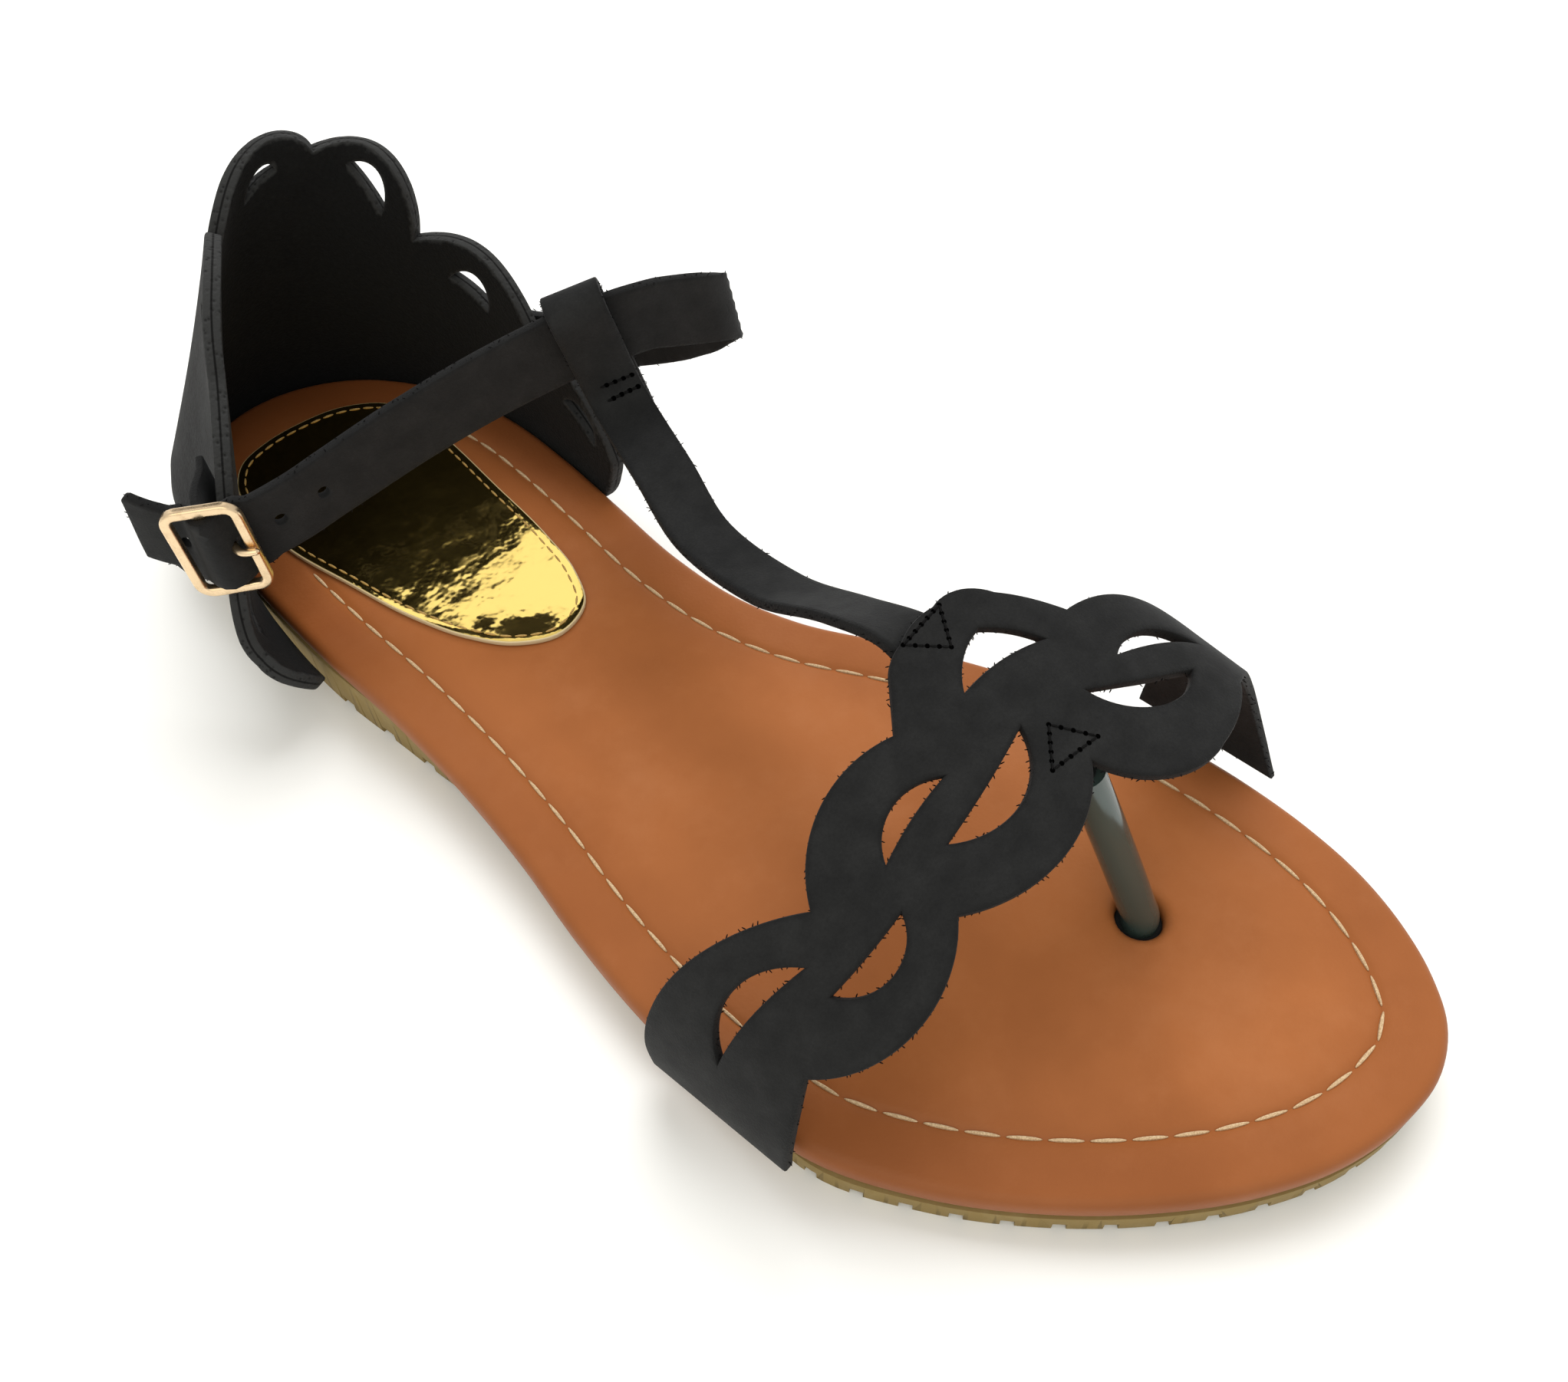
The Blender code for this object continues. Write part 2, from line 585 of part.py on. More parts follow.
def build_t_strap(parts, ankle):
    centre, along, up, out = ankle.frame(ANKLE_LOOP_AT)
    away = ANKLE_THICK / 2 + 2 * GAP + T_THICK / 2
    top = ANKLE_WIDE / 2 + 2 * GAP + T_THICK / 2
    turn = -math.degrees(math.atan2(along[1], along[0]))
    rise = math.degrees(math.asin(along[2]))
    wrap = [(away, -top - 2), (away, 0), (away, top - 1.2), (away * 0.7, top - 0.1), (0, top + 0.5),
            (-away * 0.7, top - 0.1), (-away, top - 1.2), (-away, 0), (-away, -top + 1), (-away - 0.5, -T_LOOP_BACK)]
    loop = [(*(centre + out * n + up * u), turn, rise) for n, u in wrap]
    path = Curve(T_PATH + loop)
    plain = Curve(T_PATH + loop[:1]).length
    lengths = [plain * i / 24 for i in range(24)]
    lengths += [plain + (path.length - plain) * i / 34 for i in range(35)]
    bm = bmesh.new()
    rows = []
    for length in lengths:
        x, s, z, turn, rise = path.at(length)
        tangent = path.tangent(length)
        turn, rise = math.radians(turn), math.radians(rise)
        side = np.array((math.cos(turn), -math.sin(turn), math.tan(rise)))
        side -= tangent * side.dot(tangent)
        side *= T_WIDE / 2 / np.linalg.norm(side)
        middle = np.array((x, s, z))
        rows.append([bm.verts.new(world(*(middle + side * k))) for k in (-1, 0, 1)])
    for a, b in zip(rows, rows[1:]):
        for i in range(2):
            bm.faces.new((a[i], a[i + 1], b[i + 1], b[i]))
    strap = mesh_object("t_strap", bm, parts)
    add_solidify(strap, T_THICK, 0)


def tube(name, points, radius, resolution, collection):
    """Round rod along smooth points, closed at its ends."""
    data = bpy.data.curves.new(name, "CURVE")
    data.dimensions = "3D"
    data.bevel_depth = radius * MM
    data.bevel_resolution = resolution
    data.use_fill_caps = True
    spline = data.splines.new("POLY")
    spline.points.add(len(points) - 1)
    for point, place in zip(spline.points, points):
        point.co = (*place, 1)
    return add_object(name, data, collection)


def build_post(parts):
    path = Curve(POST_PATH)
    tube("toe_post", [world(*path.at(path.length * i / 10)) for i in range(11)], POST_RADIUS, 2, parts)


def rounded_box(long, wide, corner, centre=0.0):
    a, b, bulge = long / 2, wide / 2, corner * (1 - math.sqrt(0.5))
    rows = []
    for x, y in ((1, -1), (1, 1), (-1, 1), (-1, -1)):
        first, second = (a - corner, b), (a, b - corner)
        if x * y > 0:
            first, second = second, first
        rows.append((centre + x * first[0], y * first[1], -bulge))
        rows.append((centre + x * second[0], y * second[1], 0))
    return arcs(rows, corner * 0.55)


def build_buckle(parts, ankle):
    centre, along, up, out = ankle.frame(BUCKLE_AT)
    inner = BUCKLE_WIDE / 2 - BUCKLE_WIRE

    def place(length, across, lift=0.0):
        return world(*(centre + along * length + up * across + out * (BUCKLE_STAND + lift)))

    def bent(length, across):
        near = smooth_step((1.9 - abs(length)) / 1.2) * smooth_step((inner - abs(across)) / 1.1)
        return place(length, across, -BAR_DROP * near)

    window = (BUCKLE_LONG - 2 * BUCKLE_WIRE - BUCKLE_BAR) / 2
    middle = (window + BUCKLE_BAR) / 2
    frame = sheet(
        "buckle_frame", rounded_box(BUCKLE_LONG, BUCKLE_WIDE, BUCKLE_CORNER),
        [rounded_box(window, 2 * inner, 0.8, k * middle) for k in (-1, 1)], 2.6, bent, parts,
    )
    add_solidify(frame, BUCKLE_THICK, 0)
    reach = BUCKLE_LONG / 2
    rest = BUCKLE_THICK / 2 + GAP + PRONG_RADIUS
    rows = [(2.3, -0.9), (2.9, 0.2), (3.8, 1.3), (4.9, rest), (reach + 0.4, rest)]
    path = Curve(rows)
    tube(
        "buckle_prong", [place(p[0], 0, p[1]) for p in (path.at(path.length * i / 10) for i in range(11))],
        PRONG_RADIUS, 1, parts,
    )
    bm = bmesh.new()
    verts = []
    path = Curve(TAB_PATH)
    for i in range(9):
        middle = path.at(path.length * i / 8)
        verts.append([bm.verts.new(world(*(middle + up * w * TAB_WIDE / 2))) for w in (-1, 0, 1)])
    for a, b in zip(verts, verts[1:]):
        for i in range(2):
            bm.faces.new((a[i], b[i], b[i + 1], a[i + 1]))
    tab = mesh_object("buckle_tab", bm, parts)
    add_solidify(tab, 1.4, 0)


def main():
    for obj in list(bpy.data.objects):
        bpy.data.objects.remove(obj)
    parts = bpy.data.collections.new("toe_post_sandal")
    helpers = bpy.data.collections.new("cutters")
    for collection in (parts, helpers):
        bpy.context.scene.collection.children.link(collection)
    ankle = Ankle()
    build_outsole(parts, helpers)
    build_footbed(parts)
    build_heel_patch(parts)
    build_vamp(parts)
    build_counter(parts)
    build_ankle(parts, ankle)
    build_t_strap(parts, ankle)
    build_post(parts)
    build_buckle(parts, ankle)


main()
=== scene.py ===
"""Toe post sandal, dressed: one right shoe standing empty on its sole with its ankle strap buckled.

Leather pieces are cut as flat patterns in millimetres, given their thickness and rounded edges, and then
laid on their surfaces. s is the distance from the heel towards the toe; +Z is up and the toe points to -Y.
"""

import logging
import math
from dataclasses import dataclass, field
from enum import Enum
from typing import Any, Callable, Optional, Protocol, Sequence

import bmesh
import bpy
import numpy as np
from mathutils import Matrix, Vector
from mathutils.geometry import delaunay_2d_cdt

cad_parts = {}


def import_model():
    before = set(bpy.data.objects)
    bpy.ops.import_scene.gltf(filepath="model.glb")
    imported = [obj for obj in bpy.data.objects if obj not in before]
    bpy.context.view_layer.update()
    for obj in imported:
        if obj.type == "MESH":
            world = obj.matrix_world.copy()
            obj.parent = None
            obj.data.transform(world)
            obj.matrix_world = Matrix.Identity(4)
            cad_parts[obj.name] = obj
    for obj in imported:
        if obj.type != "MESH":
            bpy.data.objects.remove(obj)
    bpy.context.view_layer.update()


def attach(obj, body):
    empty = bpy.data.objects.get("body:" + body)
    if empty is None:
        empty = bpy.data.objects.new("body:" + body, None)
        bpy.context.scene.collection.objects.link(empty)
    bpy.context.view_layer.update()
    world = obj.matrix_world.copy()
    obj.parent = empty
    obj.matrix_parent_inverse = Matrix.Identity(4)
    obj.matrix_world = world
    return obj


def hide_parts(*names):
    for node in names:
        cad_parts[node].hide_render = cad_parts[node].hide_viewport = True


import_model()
LOG = logging.getLogger("toe_post_sandal")

Array = np.ndarray
Row = Sequence[float]
Colour = tuple[float, float, float]
BMesh = bmesh.types.BMesh
Socket = bpy.types.NodeSocket
NodeTree = bpy.types.ShaderNodeTree

MM = 0.001
ORIGIN_S = 175.0  # s at the frame's origin
BODY = "root"
GAP = 0.35  # air between neighbouring pieces
PROBE = 0.2  # half the length over which a direction is read
RIM_REACH = 1.3  # how far the wear of a cut edge reaches
RIM_ANGLE = 1.2  # angle past which a blank's edge is a cut edge
CREASE = math.radians(40)  # angle past which an edge looks sharp
STEPS = 48  # samples between two rows of a table


class Slot(Enum):
    """Material slots of the part."""

    RUBBER = "outsole_rubber"
    TAN = "footbed_tan"
    FOIL = "patch_foil"
    NUBUCK = "strap_nubuck"
    SUEDE = "counter_suede"
    TUBE = "post_tube"
    GILT = "buckle_gilt"


class Side(Enum):
    """Which way a pattern's thickness runs from the surface it is laid on."""

    IN = 1.0
    OUT = -1.0


# Shapes


def ease(value: Array) -> Array:
    """Ease from 0 to 1 over the same range."""
    value = np.clip(value, 0.0, 1.0)
    return value * value * (3 - 2 * value)


def share_of(value: Array, span: Row) -> Array:
    """Share of a span that is given by its start and length."""
    return (value - span[0]) / span[1]


def world(x: Array, s: Array, z: Array) -> Array:
    """Points of the shared frame in metres from millimetre tables."""
    return np.stack(np.broadcast_arrays(x, ORIGIN_S - np.asarray(s), z), axis=-1) * MM


def unit(vectors: Array) -> Array:
    """Vectors at length one."""
    return vectors / np.maximum(np.linalg.norm(vectors, axis=-1, keepdims=True), 1e-12)


def hermite(share: Array, ends: tuple[Array, Array], slopes: tuple[Array, Array]) -> Array:
    """Smooth run from one value to the next.

    Args:
        share: Where between them, from 0 to 1.
        ends: First and last value.
        slopes: Slopes there, over the whole run.

    Returns:
        The values between.
    """
    square, cube = share**2, share**3
    return (
        ends[0] * (2 * cube - 3 * square + 1) + slopes[0] * (cube - 2 * square + share)
        + ends[1] * (3 * square - 2 * cube) + slopes[1] * (cube - square)
    )


class Curve:
    """Smooth curve through a table's rows, read by its length."""

    def __init__(self, rows: Sequence[Row], closed: bool = False, steps: int = STEPS) -> None:
        """Fit the curve.

        Args:
            rows: Points it passes through; columns after the third are carried along.
            closed: Whether the last row joins the first.
            steps: Samples between two rows.
        """
        points = np.array(rows, float)
        count = len(points)
        order = [(i % count if closed else min(max(i, 0), count - 1)) for i in range(-1, count + 2)]
        around = points[order]
        gaps = np.maximum(np.linalg.norm(np.diff(around, axis=0), axis=1), 1e-6)
        slopes = np.diff(around, axis=0) / gaps[:, None]
        weight = (gaps[:-1] / (gaps[:-1] + gaps[1:]))[:, None]
        tangents = slopes[:-1] * (1 - weight) + slopes[1:] * weight
        if not closed:
            tangents[0], tangents[count - 1] = slopes[1], slopes[count - 1]
        share = np.linspace(0, 1, steps, endpoint=False)[:, None]
        spans = []
        for i in range(count if closed else count - 1):
            slope = (tangents[i] * gaps[i + 1], tangents[(i + 1) % count] * gaps[i + 1])
            spans.append(hermite(share, (around[i + 1], around[i + 2]), slope))
        self.points = np.concatenate([*spans, points[:1] if closed else points[-1:]])
        sizes = np.linalg.norm(np.diff(self.points[:, :3], axis=0), axis=1)
        self.lengths = np.concatenate([[0], np.cumsum(sizes)])
        self.length = float(self.lengths[-1])
        self.closed = closed

    def at(self, length: Array) -> Array:
        """Rows of the curve, carried on straight beyond its ends.

        Args:
            length: Where along the curve.

        Returns:
            One row per length.
        """
        length = np.asarray(length, float)
        if self.closed:
            length = length % self.length
        made = np.stack([np.interp(length, self.lengths, column) for column in self.points.T], axis=-1)
        if self.closed:
            return made
        first = (self.points[1] - self.points[0]) / self.lengths[1]
        last = (self.points[-1] - self.points[-2]) / (self.lengths[-1] - self.lengths[-2])
        before = np.minimum(length, 0)[..., None]
        after = np.maximum(length - self.length, 0)[..., None]
        return made + first * before + last * after

    def tangent(self, length: Array) -> Array:
        """Unit way along the curve, in its first three columns."""
        step = self.at(np.asarray(length) + PROBE) - self.at(np.asarray(length) - PROBE)
        return unit(step[..., :3])

    def spaced(self, spacing: float) -> Array:
        """Evenly spaced rows, the end left out."""
        return self.at(self.shares(spacing))

    def shares(self, spacing: float) -> Array:
        """Lengths that divide the curve evenly, the end left out."""
        count = max(round(self.length / spacing), 3)
        return np.arange(count) * self.length / count

    def beside(self, outset: float, spacing: float = 1.0) -> Array:
        """Rows of a closed plane curve set off to its outer side.

        Args:
            outset: Distance outwards; minus is inwards.
            spacing: Distance between the rows.

        Returns:
            Points of the offset curve.
        """
        lengths = np.arange(0, self.length, spacing)
        points, ways = self.at(lengths), self.at(lengths + 0.4) - self.at(lengths - 0.4)
        left = unit(np.column_stack((-ways[:, 1], ways[:, 0])))
        middle = points.mean(axis=0)
        turn = 1.0 if np.sum(np.cross(points - middle, np.roll(points, -1, axis=0) - middle)) < 0 else -1.0
        return points + left * outset * turn


def arcs(rows: Sequence[Row], spacing: float) -> Array:
    """Closed flat outline made of arcs.

    Args:
        rows: Point and the bulge of the arc to the next one, to the right of the way.
        spacing: Distance between the points made.

    Returns:
        The outline's points.
    """
    made: list[Array] = []
    for (ax, ay, bulge), (bx, by, _) in zip(rows, [*rows[1:], rows[0]]):
        a, b = np.array((ax, ay), float), np.array((bx, by), float)
        chord = float(np.linalg.norm(b - a))
        right = np.array((by - ay, ax - bx)) / chord
        if abs(bulge) < 0.05:
            count = max(round(chord / spacing), 1)
            made += [a + (b - a) * i / count for i in range(count)]
            continue
        radius = (chord**2 / 4 + bulge**2) / (2 * abs(bulge))
        half = 2 * math.atan2(2 * abs(bulge), chord)
        count = max(round(2 * half * radius / spacing), 3)
        turn = math.copysign(1, bulge)
        centre = (a + b) / 2 + right * (bulge - turn * radius)
        along = (b - a) / chord
        for i in range(count):
            angle = half * (2 * i / count - 1)
            made.append(centre + radius * (along * math.sin(angle) + right * turn * math.cos(angle)))
    return np.array(made)


def moon(row: Row, spacing: float) -> Array:
    """Half-moon cut-out from its chord's ends and the bulge of its arc."""
    ax, ay, bx, by, bulge = row
    return arcs([(ax, ay, bulge), (bx, by, -0.4)], spacing)


def ring(x: float, y: float, radius: float, count: int) -> Array:
    """Points of a round hole."""
    turn = np.arange(count) * math.tau / count
    return np.column_stack((x + radius * np.cos(turn), y + radius * np.sin(turn)))


def within(points: Array, loop: Array) -> Array:
    """Which points lie inside a closed flat loop.

    Args:
        points: Flat points.
        loop: The loop's points.

    Returns:
        True for each point inside.
    """
    a, b = loop, np.roll(loop, -1, axis=0)
    x, y = points[:, :1], points[:, 1:2]
    spans = (a[:, 1] > y) != (b[:, 1] > y)
    rise = np.where(np.abs(b[:, 1] - a[:, 1]) < 1e-12, 1e-12, b[:, 1] - a[:, 1])
    hit = spans & (a[:, 0] + (y - a[:, 1]) / rise * (b[:, 0] - a[:, 0]) > x)
    return hit.sum(axis=1) % 2 == 1


def nearest(points: Array, others: Array) -> Array:
    """Distance from each point to the nearest of the others, a batch at a time.

    Args:
        points: Flat points.
        others: What they are measured to.

    Returns:
        One distance per point.
    """
    made, batch = np.empty(len(points)), 2000
    for first in range(0, len(points), batch):
        part = slice(first, first + batch)
        made[part] = np.sqrt(((points[part][:, None] - others[None]) ** 2).sum(axis=2).min(axis=1))
    return made


class Surface(Protocol):
    """Something a flat pattern can be laid on."""

    def spots(self, u: Array, v: Array) -> Array:
        """Points in metres of the pattern's places in millimetres."""


def laid_normals(surface: Surface, u: Array, v: Array) -> Array:
    """Unit normals of a surface at a pattern's places.

    Args:
        surface: What the pattern lies on.
        u: Places along the pattern.
        v: Places across it.

    Returns:
        One normal per place.
    """
    step = 0.05
    du = surface.spots(u + step, v) - surface.spots(u - step, v)
    dv = surface.spots(u, v + step) - surface.spots(u, v - step)
    return unit(np.cross(du, dv))


@dataclass
class Pattern:
    """Flat cutting pattern with cut-outs.

    Attributes:
        outline: Outer loop.
        holes: Loops of the cut-outs.
        spacing: Distance between inner points.
        extra: Inner points that are wanted at given places.
    """

    outline: Array
    holes: list[Array] = field(default_factory=list)
    spacing: float = 1.6
    extra: Array = field(default_factory=lambda: np.zeros((0, 2)))

    def blank(self) -> BMesh:
        """Cut the pattern.

        Returns:
            Flat triangles at depth nought.
        """
        loops = [self.outline, *self.holes]
        edge = np.concatenate(loops)
        edges, first = [], 0
        for loop in loops:
            edges += [(first + i, first + (i + 1) % len(loop)) for i in range(len(loop))]
            first += len(loop)
        low, high = self.outline.min(axis=0), self.outline.max(axis=0)
        pitch = 0.866
        rows = np.arange(int((high[1] - low[1]) / (self.spacing * pitch)) + 1)
        columns = np.arange(int((high[0] - low[0]) / self.spacing) + 2)
        row, column = (side.ravel() for side in np.meshgrid(rows, columns, indexing="ij"))
        inner = low + np.column_stack(((column - 0.5 * (row % 2)), (row + 0.5) * pitch)) * self.spacing
        inner = inner[within(inner, self.outline)]
        clear = self.spacing * 0.6
        inner = inner[nearest(inner, edge) > clear]
        extra = self.extra
        if len(extra):
            extra = extra[nearest(extra, edge) > 0.5]
            inner = inner[nearest(inner, extra) > clear]
        points = [Vector(p) for p in np.concatenate([edge, inner, extra])]
        verts, _, faces, *_ = delaunay_2d_cdt(points, edges, [], 4, 1e-5)
        places = np.array([v[:] for v in verts])
        middles = np.array([places[list(f)].mean(axis=0) for f in faces])
        keep = within(middles, self.outline)
        for hole in self.holes:
            keep &= ~within(middles, hole)
        bm = bmesh.new()
        made = [bm.verts.new((p[0], p[1], 0.0)) for p in places]
        for face, kept in zip(faces, keep):
            if kept:
                bm.faces.new([made[i] for i in face])
        loose = [v for v in bm.verts if not v.link_faces]
        bmesh.ops.delete(bm, geom=loose, context="VERTS")
        return bm

    def edge_distance(self, flat: Array) -> Array:
        """Distance from places of the pattern to its nearest cut edge."""
        return nearest(flat[:, :2], np.concatenate([self.outline, *self.holes]))


def thicken(bm: BMesh, thick: float, rounding: float, segments: int = 2) -> None:
    """Give a flat blank its thickness towards +Z and round its cut edges.

    Args:
        bm: The blank, changed in place.
        thick: Thickness in millimetres.
        rounding: Radius of the cut edges.
        segments: Steps of the rounding.
    """
    made = bmesh.ops.extrude_face_region(bm, geom=bm.faces[:])
    raised = [v for v in made["geom"] if isinstance(v, bmesh.types.BMVert)]
    bmesh.ops.translate(bm, verts=raised, vec=(0, 0, thick))
    bmesh.ops.recalc_face_normals(bm, faces=bm.faces[:])
    if rounding <= 0:
        return
    sharp = [e for e in bm.edges if len(e.link_faces) == 2 and e.calc_face_angle() > RIM_ANGLE]
    rises = [sorted(abs(f.normal.z) for f in e.link_faces) for e in sharp]
    rims = [e for e, (wall, face) in zip(sharp, rises) if wall < 0.5 < face]
    bmesh.ops.bevel(
        bm, geom=rims, offset=rounding, offset_type="OFFSET", affect="EDGES", segments=segments, profile=0.5,
        material=-1, clamp_overlap=False,
    )


def mark(bm: BMesh, name: str, values: Array) -> None:
    """Store one number per vertex under a name that a finish can read.

    Args:
        bm: The mesh, changed in place.
        name: The numbers' name.
        values: One per vertex.
    """
    layer = bm.verts.layers.float.get(name) or bm.verts.layers.float.new(name)
    for vert, value in zip(bm.verts, values):
        vert[layer] = float(value)


def flat_places(bm: BMesh) -> Array:
    """Places of all vertices."""
    return np.array([v.co[:] for v in bm.verts])


def put(bm: BMesh, places: Array) -> None:
    """Move all vertices to their places."""
    for vert, place in zip(bm.verts, places):
        vert.co = place


def lay(bm: BMesh, surface: Surface, side: Side, lift: float = 0.0) -> None:
    """Lay a thick blank on a surface.

    Args:
        bm: Blank with depth along Z, changed in place.
        surface: Where it goes.
        side: Which way its depth runs.
        lift: Depth at which it starts.
    """
    flat = flat_places(bm)
    spots = surface.spots(flat[:, 0], flat[:, 1])
    normals = laid_normals(surface, flat[:, 0], flat[:, 1])
    put(bm, spots + normals * (side.value * (flat[:, 2] + lift) * MM)[:, None])


def cut_leather(pattern: Pattern, thick: float, rounding: float) -> BMesh:
    """Thick leather blank that knows where its cut edges are.

    Args:
        pattern: Its outline and cut-outs.
        thick: Thickness.
        rounding: Radius of its edges.

    Returns:
        The blank, still flat.
    """
    bm = pattern.blank()
    thicken(bm, thick, rounding)
    mark_edges(bm, pattern, thick)
    return bm


def mark_edges(bm: BMesh, pattern: Pattern, thick: float) -> None:
    """Mark how near each vertex of a flat blank is to a cut edge, and its depth as a share.

    Args:
        bm: The blank, changed in place.
        pattern: Its cut edges.
        thick: Its thickness.
    """
    flat = flat_places(bm)
    mark(bm, "rim", 1 - np.clip(pattern.edge_distance(flat) / RIM_REACH, 0, 1))
    mark(bm, "depth", flat[:, 2] / thick)


def strip_edge(length: float, wide: float) -> Array:
    """Outline of a straight strap."""
    half = wide / 2
    return arcs([(0, -half, 0), (length, -half, 0), (length, half, 0), (0, half, 0)], 0.6)


def strip(
    length: float, wide: float, thick: float, rounding: float, counts: tuple[int, int]
) -> BMesh:
    """Straight thick strap of even squares that knows where its cut edges are.

    Args:
        length: Its length.
        wide: Its width.
        thick: Its thickness.
        rounding: Radius of its edges.
        counts: Squares along and across.

    Returns:
        The strap, still flat.
    """
    bm = bmesh.new()
    bmesh.ops.create_grid(bm, x_segments=counts[0], y_segments=counts[1], size=0.5)
    along, across, depth = flat_places(bm).T
    put(bm, np.column_stack(((along + 0.5) * length, across * wide, depth * 0)))
    thicken(bm, thick, rounding)
    mark_edges(bm, Pattern(strip_edge(length, wide)), thick)
    return bm


def beads(
    spots: Array, ways: Array, ups: Array, size: tuple[float, float, float], sides: tuple[int, int] = (8, 5)
) -> BMesh:
    """Short rounded stitches.

    Args:
        spots: Middles in metres.
        ways: Unit ways along the thread.
        ups: Unit ways off the surface.
        size: Length, width and height in millimetres.
        sides: Faces round and along one stitch.

    Returns:
        All stitches as one mesh.
    """
    bm = bmesh.new()
    long, wide, high = (0.5 * MM * value for value in size)
    across = unit(np.cross(ups, ways))
    for spot, way, up, side in zip(spots, ways, ups, across):
        matrix = Matrix.Identity(4)
        columns = (side * wide, up * high, way * long, spot)
        for i, column in enumerate(columns):
            for k in range(3):
                matrix[k][i] = column[k]
        bmesh.ops.create_uvsphere(bm, u_segments=sides[0], v_segments=sides[1], radius=1.0, matrix=matrix)
    return bm


def fibres(
    surface: Surface, loops: Sequence[Array], side: Side, depths: tuple[float, float]
) -> BMesh:
    """Loose fibres along the cut edges of leather.

    Args:
        surface: What the leather lies on.
        loops: Its cut edges in the flat pattern.
        side: Which way its depth runs.
        depths: Depths between which fibres come out of the edge.

    Returns:
        All fibres as one mesh.
    """
    draw = np.random.default_rng(11)
    spots, ways, ups = [], [], []
    for loop in loops:
        step = np.roll(loop, -1, axis=0) - np.roll(loop, 1, axis=0)
        along = unit(step)
        turn = 1.0 if np.sum(np.cross(loop, np.roll(loop, -1, axis=0))) > 0 else -1.0
        out = np.column_stack((along[:, 1], -along[:, 0])) * turn
        out = out if loop is loops[0] else -out
        chosen = draw.random(len(loop)) < 0.95
        count = int(chosen.sum())
        flat = loop[chosen] + out[chosen] * draw.uniform(-0.4, 0.2, count)[:, None]
        lean = out[chosen] + along[chosen] * draw.uniform(-1.6, 1.6, count)[:, None]
        ahead = flat + unit(lean) * PROBE
        up = laid_normals(surface, flat[:, 0], flat[:, 1])
        deep = draw.uniform(*depths, count) * side.value * MM
        spots.append(surface.spots(flat[:, 0], flat[:, 1]) + up * deep[:, None])
        level = surface.spots(ahead[:, 0], ahead[:, 1]) - surface.spots(flat[:, 0], flat[:, 1])
        ways.append(unit(unit(level) + up * draw.uniform(-0.5, 0.5, count)[:, None]))
        ups.append(unit(np.cross(ways[-1], np.cross(up, ways[-1]))))
    size, sides = (0.75, 0.2, 0.2), (4, 4)
    return beads(np.concatenate(spots), np.concatenate(ways), np.concatenate(ups), size, sides)


def rod(path: Curve, radii: Callable[[Array], Array], rows: int, sides: int) -> BMesh:
    """Round rod along a path, closed at its ends.

    Args:
        path: Centre line of x, s and z.
        radii: Radius for shares 0 to 1 of the length.
        rows: Steps along.
        sides: Faces round.

    Returns:
        The rod in metres.
    """
    bm = bmesh.new()
    bmesh.ops.create_grid(bm, x_segments=rows, y_segments=sides, size=0.5)
    flat = flat_places(bm)
    share, turn = flat[:, 0] + 0.5, (flat[:, 1] + 0.5) * math.tau
    lengths = share * path.length
    centre, along = path.at(lengths)[:, :3], path.tangent(lengths)
    level = abs(path.tangent(path.length / 2)[2]) < 0.8
    guide = np.array((0.3, 0.2, 1.0) if level else (1.0, 0.3, 0.1))
    first = unit(np.cross(along, guide))
    second = np.cross(along, first)
    round_out = first * np.cos(turn)[:, None] + second * np.sin(turn)[:, None]
    put(bm, world(*(centre + round_out * radii(share)[:, None]).T))
    bmesh.ops.remove_doubles(bm, verts=bm.verts[:], dist=1e-7)
    bmesh.ops.holes_fill(bm, edges=[e for e in bm.edges if e.is_boundary], sides=sides + 1)
    return bm


# Finishes


def feed(tree: NodeTree, socket: Socket, value: Any) -> None:
    """Link a socket to another one, or set its own value.

    Args:
        tree: The nodes that the sockets belong to.
        socket: What is fed.
        value: Another socket, a number or a colour.
    """
    if isinstance(value, Socket):
        tree.links.new(value, socket)
    else:
        socket.default_value = (*value, 1.0) if isinstance(value, tuple) else value


def combine(tree: NodeTree, kind: str, first: Any, second: Any, clamp: bool = False) -> Socket:
    """Arithmetic on two values.

    Args:
        tree: Where it happens.
        kind: Which arithmetic.
        first: A socket or a number.
        second: Another one.
        clamp: Whether the result is held between 0 and 1.

    Returns:
        The result.
    """
    made = tree.nodes.new("ShaderNodeMath")
    made.operation, made.use_clamp = kind, clamp
    for socket, value in zip(made.inputs, (first, second)):
        feed(tree, socket, value)
    return made.outputs[0]


def ramp(tree: NodeTree, value: Any, ends: Sequence[float]) -> Socket:
    """Map a range of values onto another, held at its ends.

    Args:
        tree: Where it happens.
        value: What is mapped.
        ends: Both ends of the range, and what they become.

    Returns:
        The mapped value.
    """
    made = tree.nodes.new("ShaderNodeMapRange")
    for name, part in zip(("Value", "From Min", "From Max", "To Min", "To Max"), (value, *ends)):
        feed(tree, made.inputs[name], part)
    return made.outputs["Result"]


def mix(tree: NodeTree, share: Any, first: Any, second: Any, kind: str = "MIX") -> Socket:
    """Mix two colours.

    Args:
        tree: Where it happens.
        share: How much of the second one.
        first: A socket or a colour.
        second: Another one.
        kind: How they mix.

    Returns:
        The mixed colour.
    """
    made = tree.nodes.new("ShaderNodeMix")
    made.data_type, made.blend_type = "RGBA", kind
    for index, value in ((0, share), (6, first), (7, second)):
        feed(tree, made.inputs[index], value)
    return made.outputs[2]


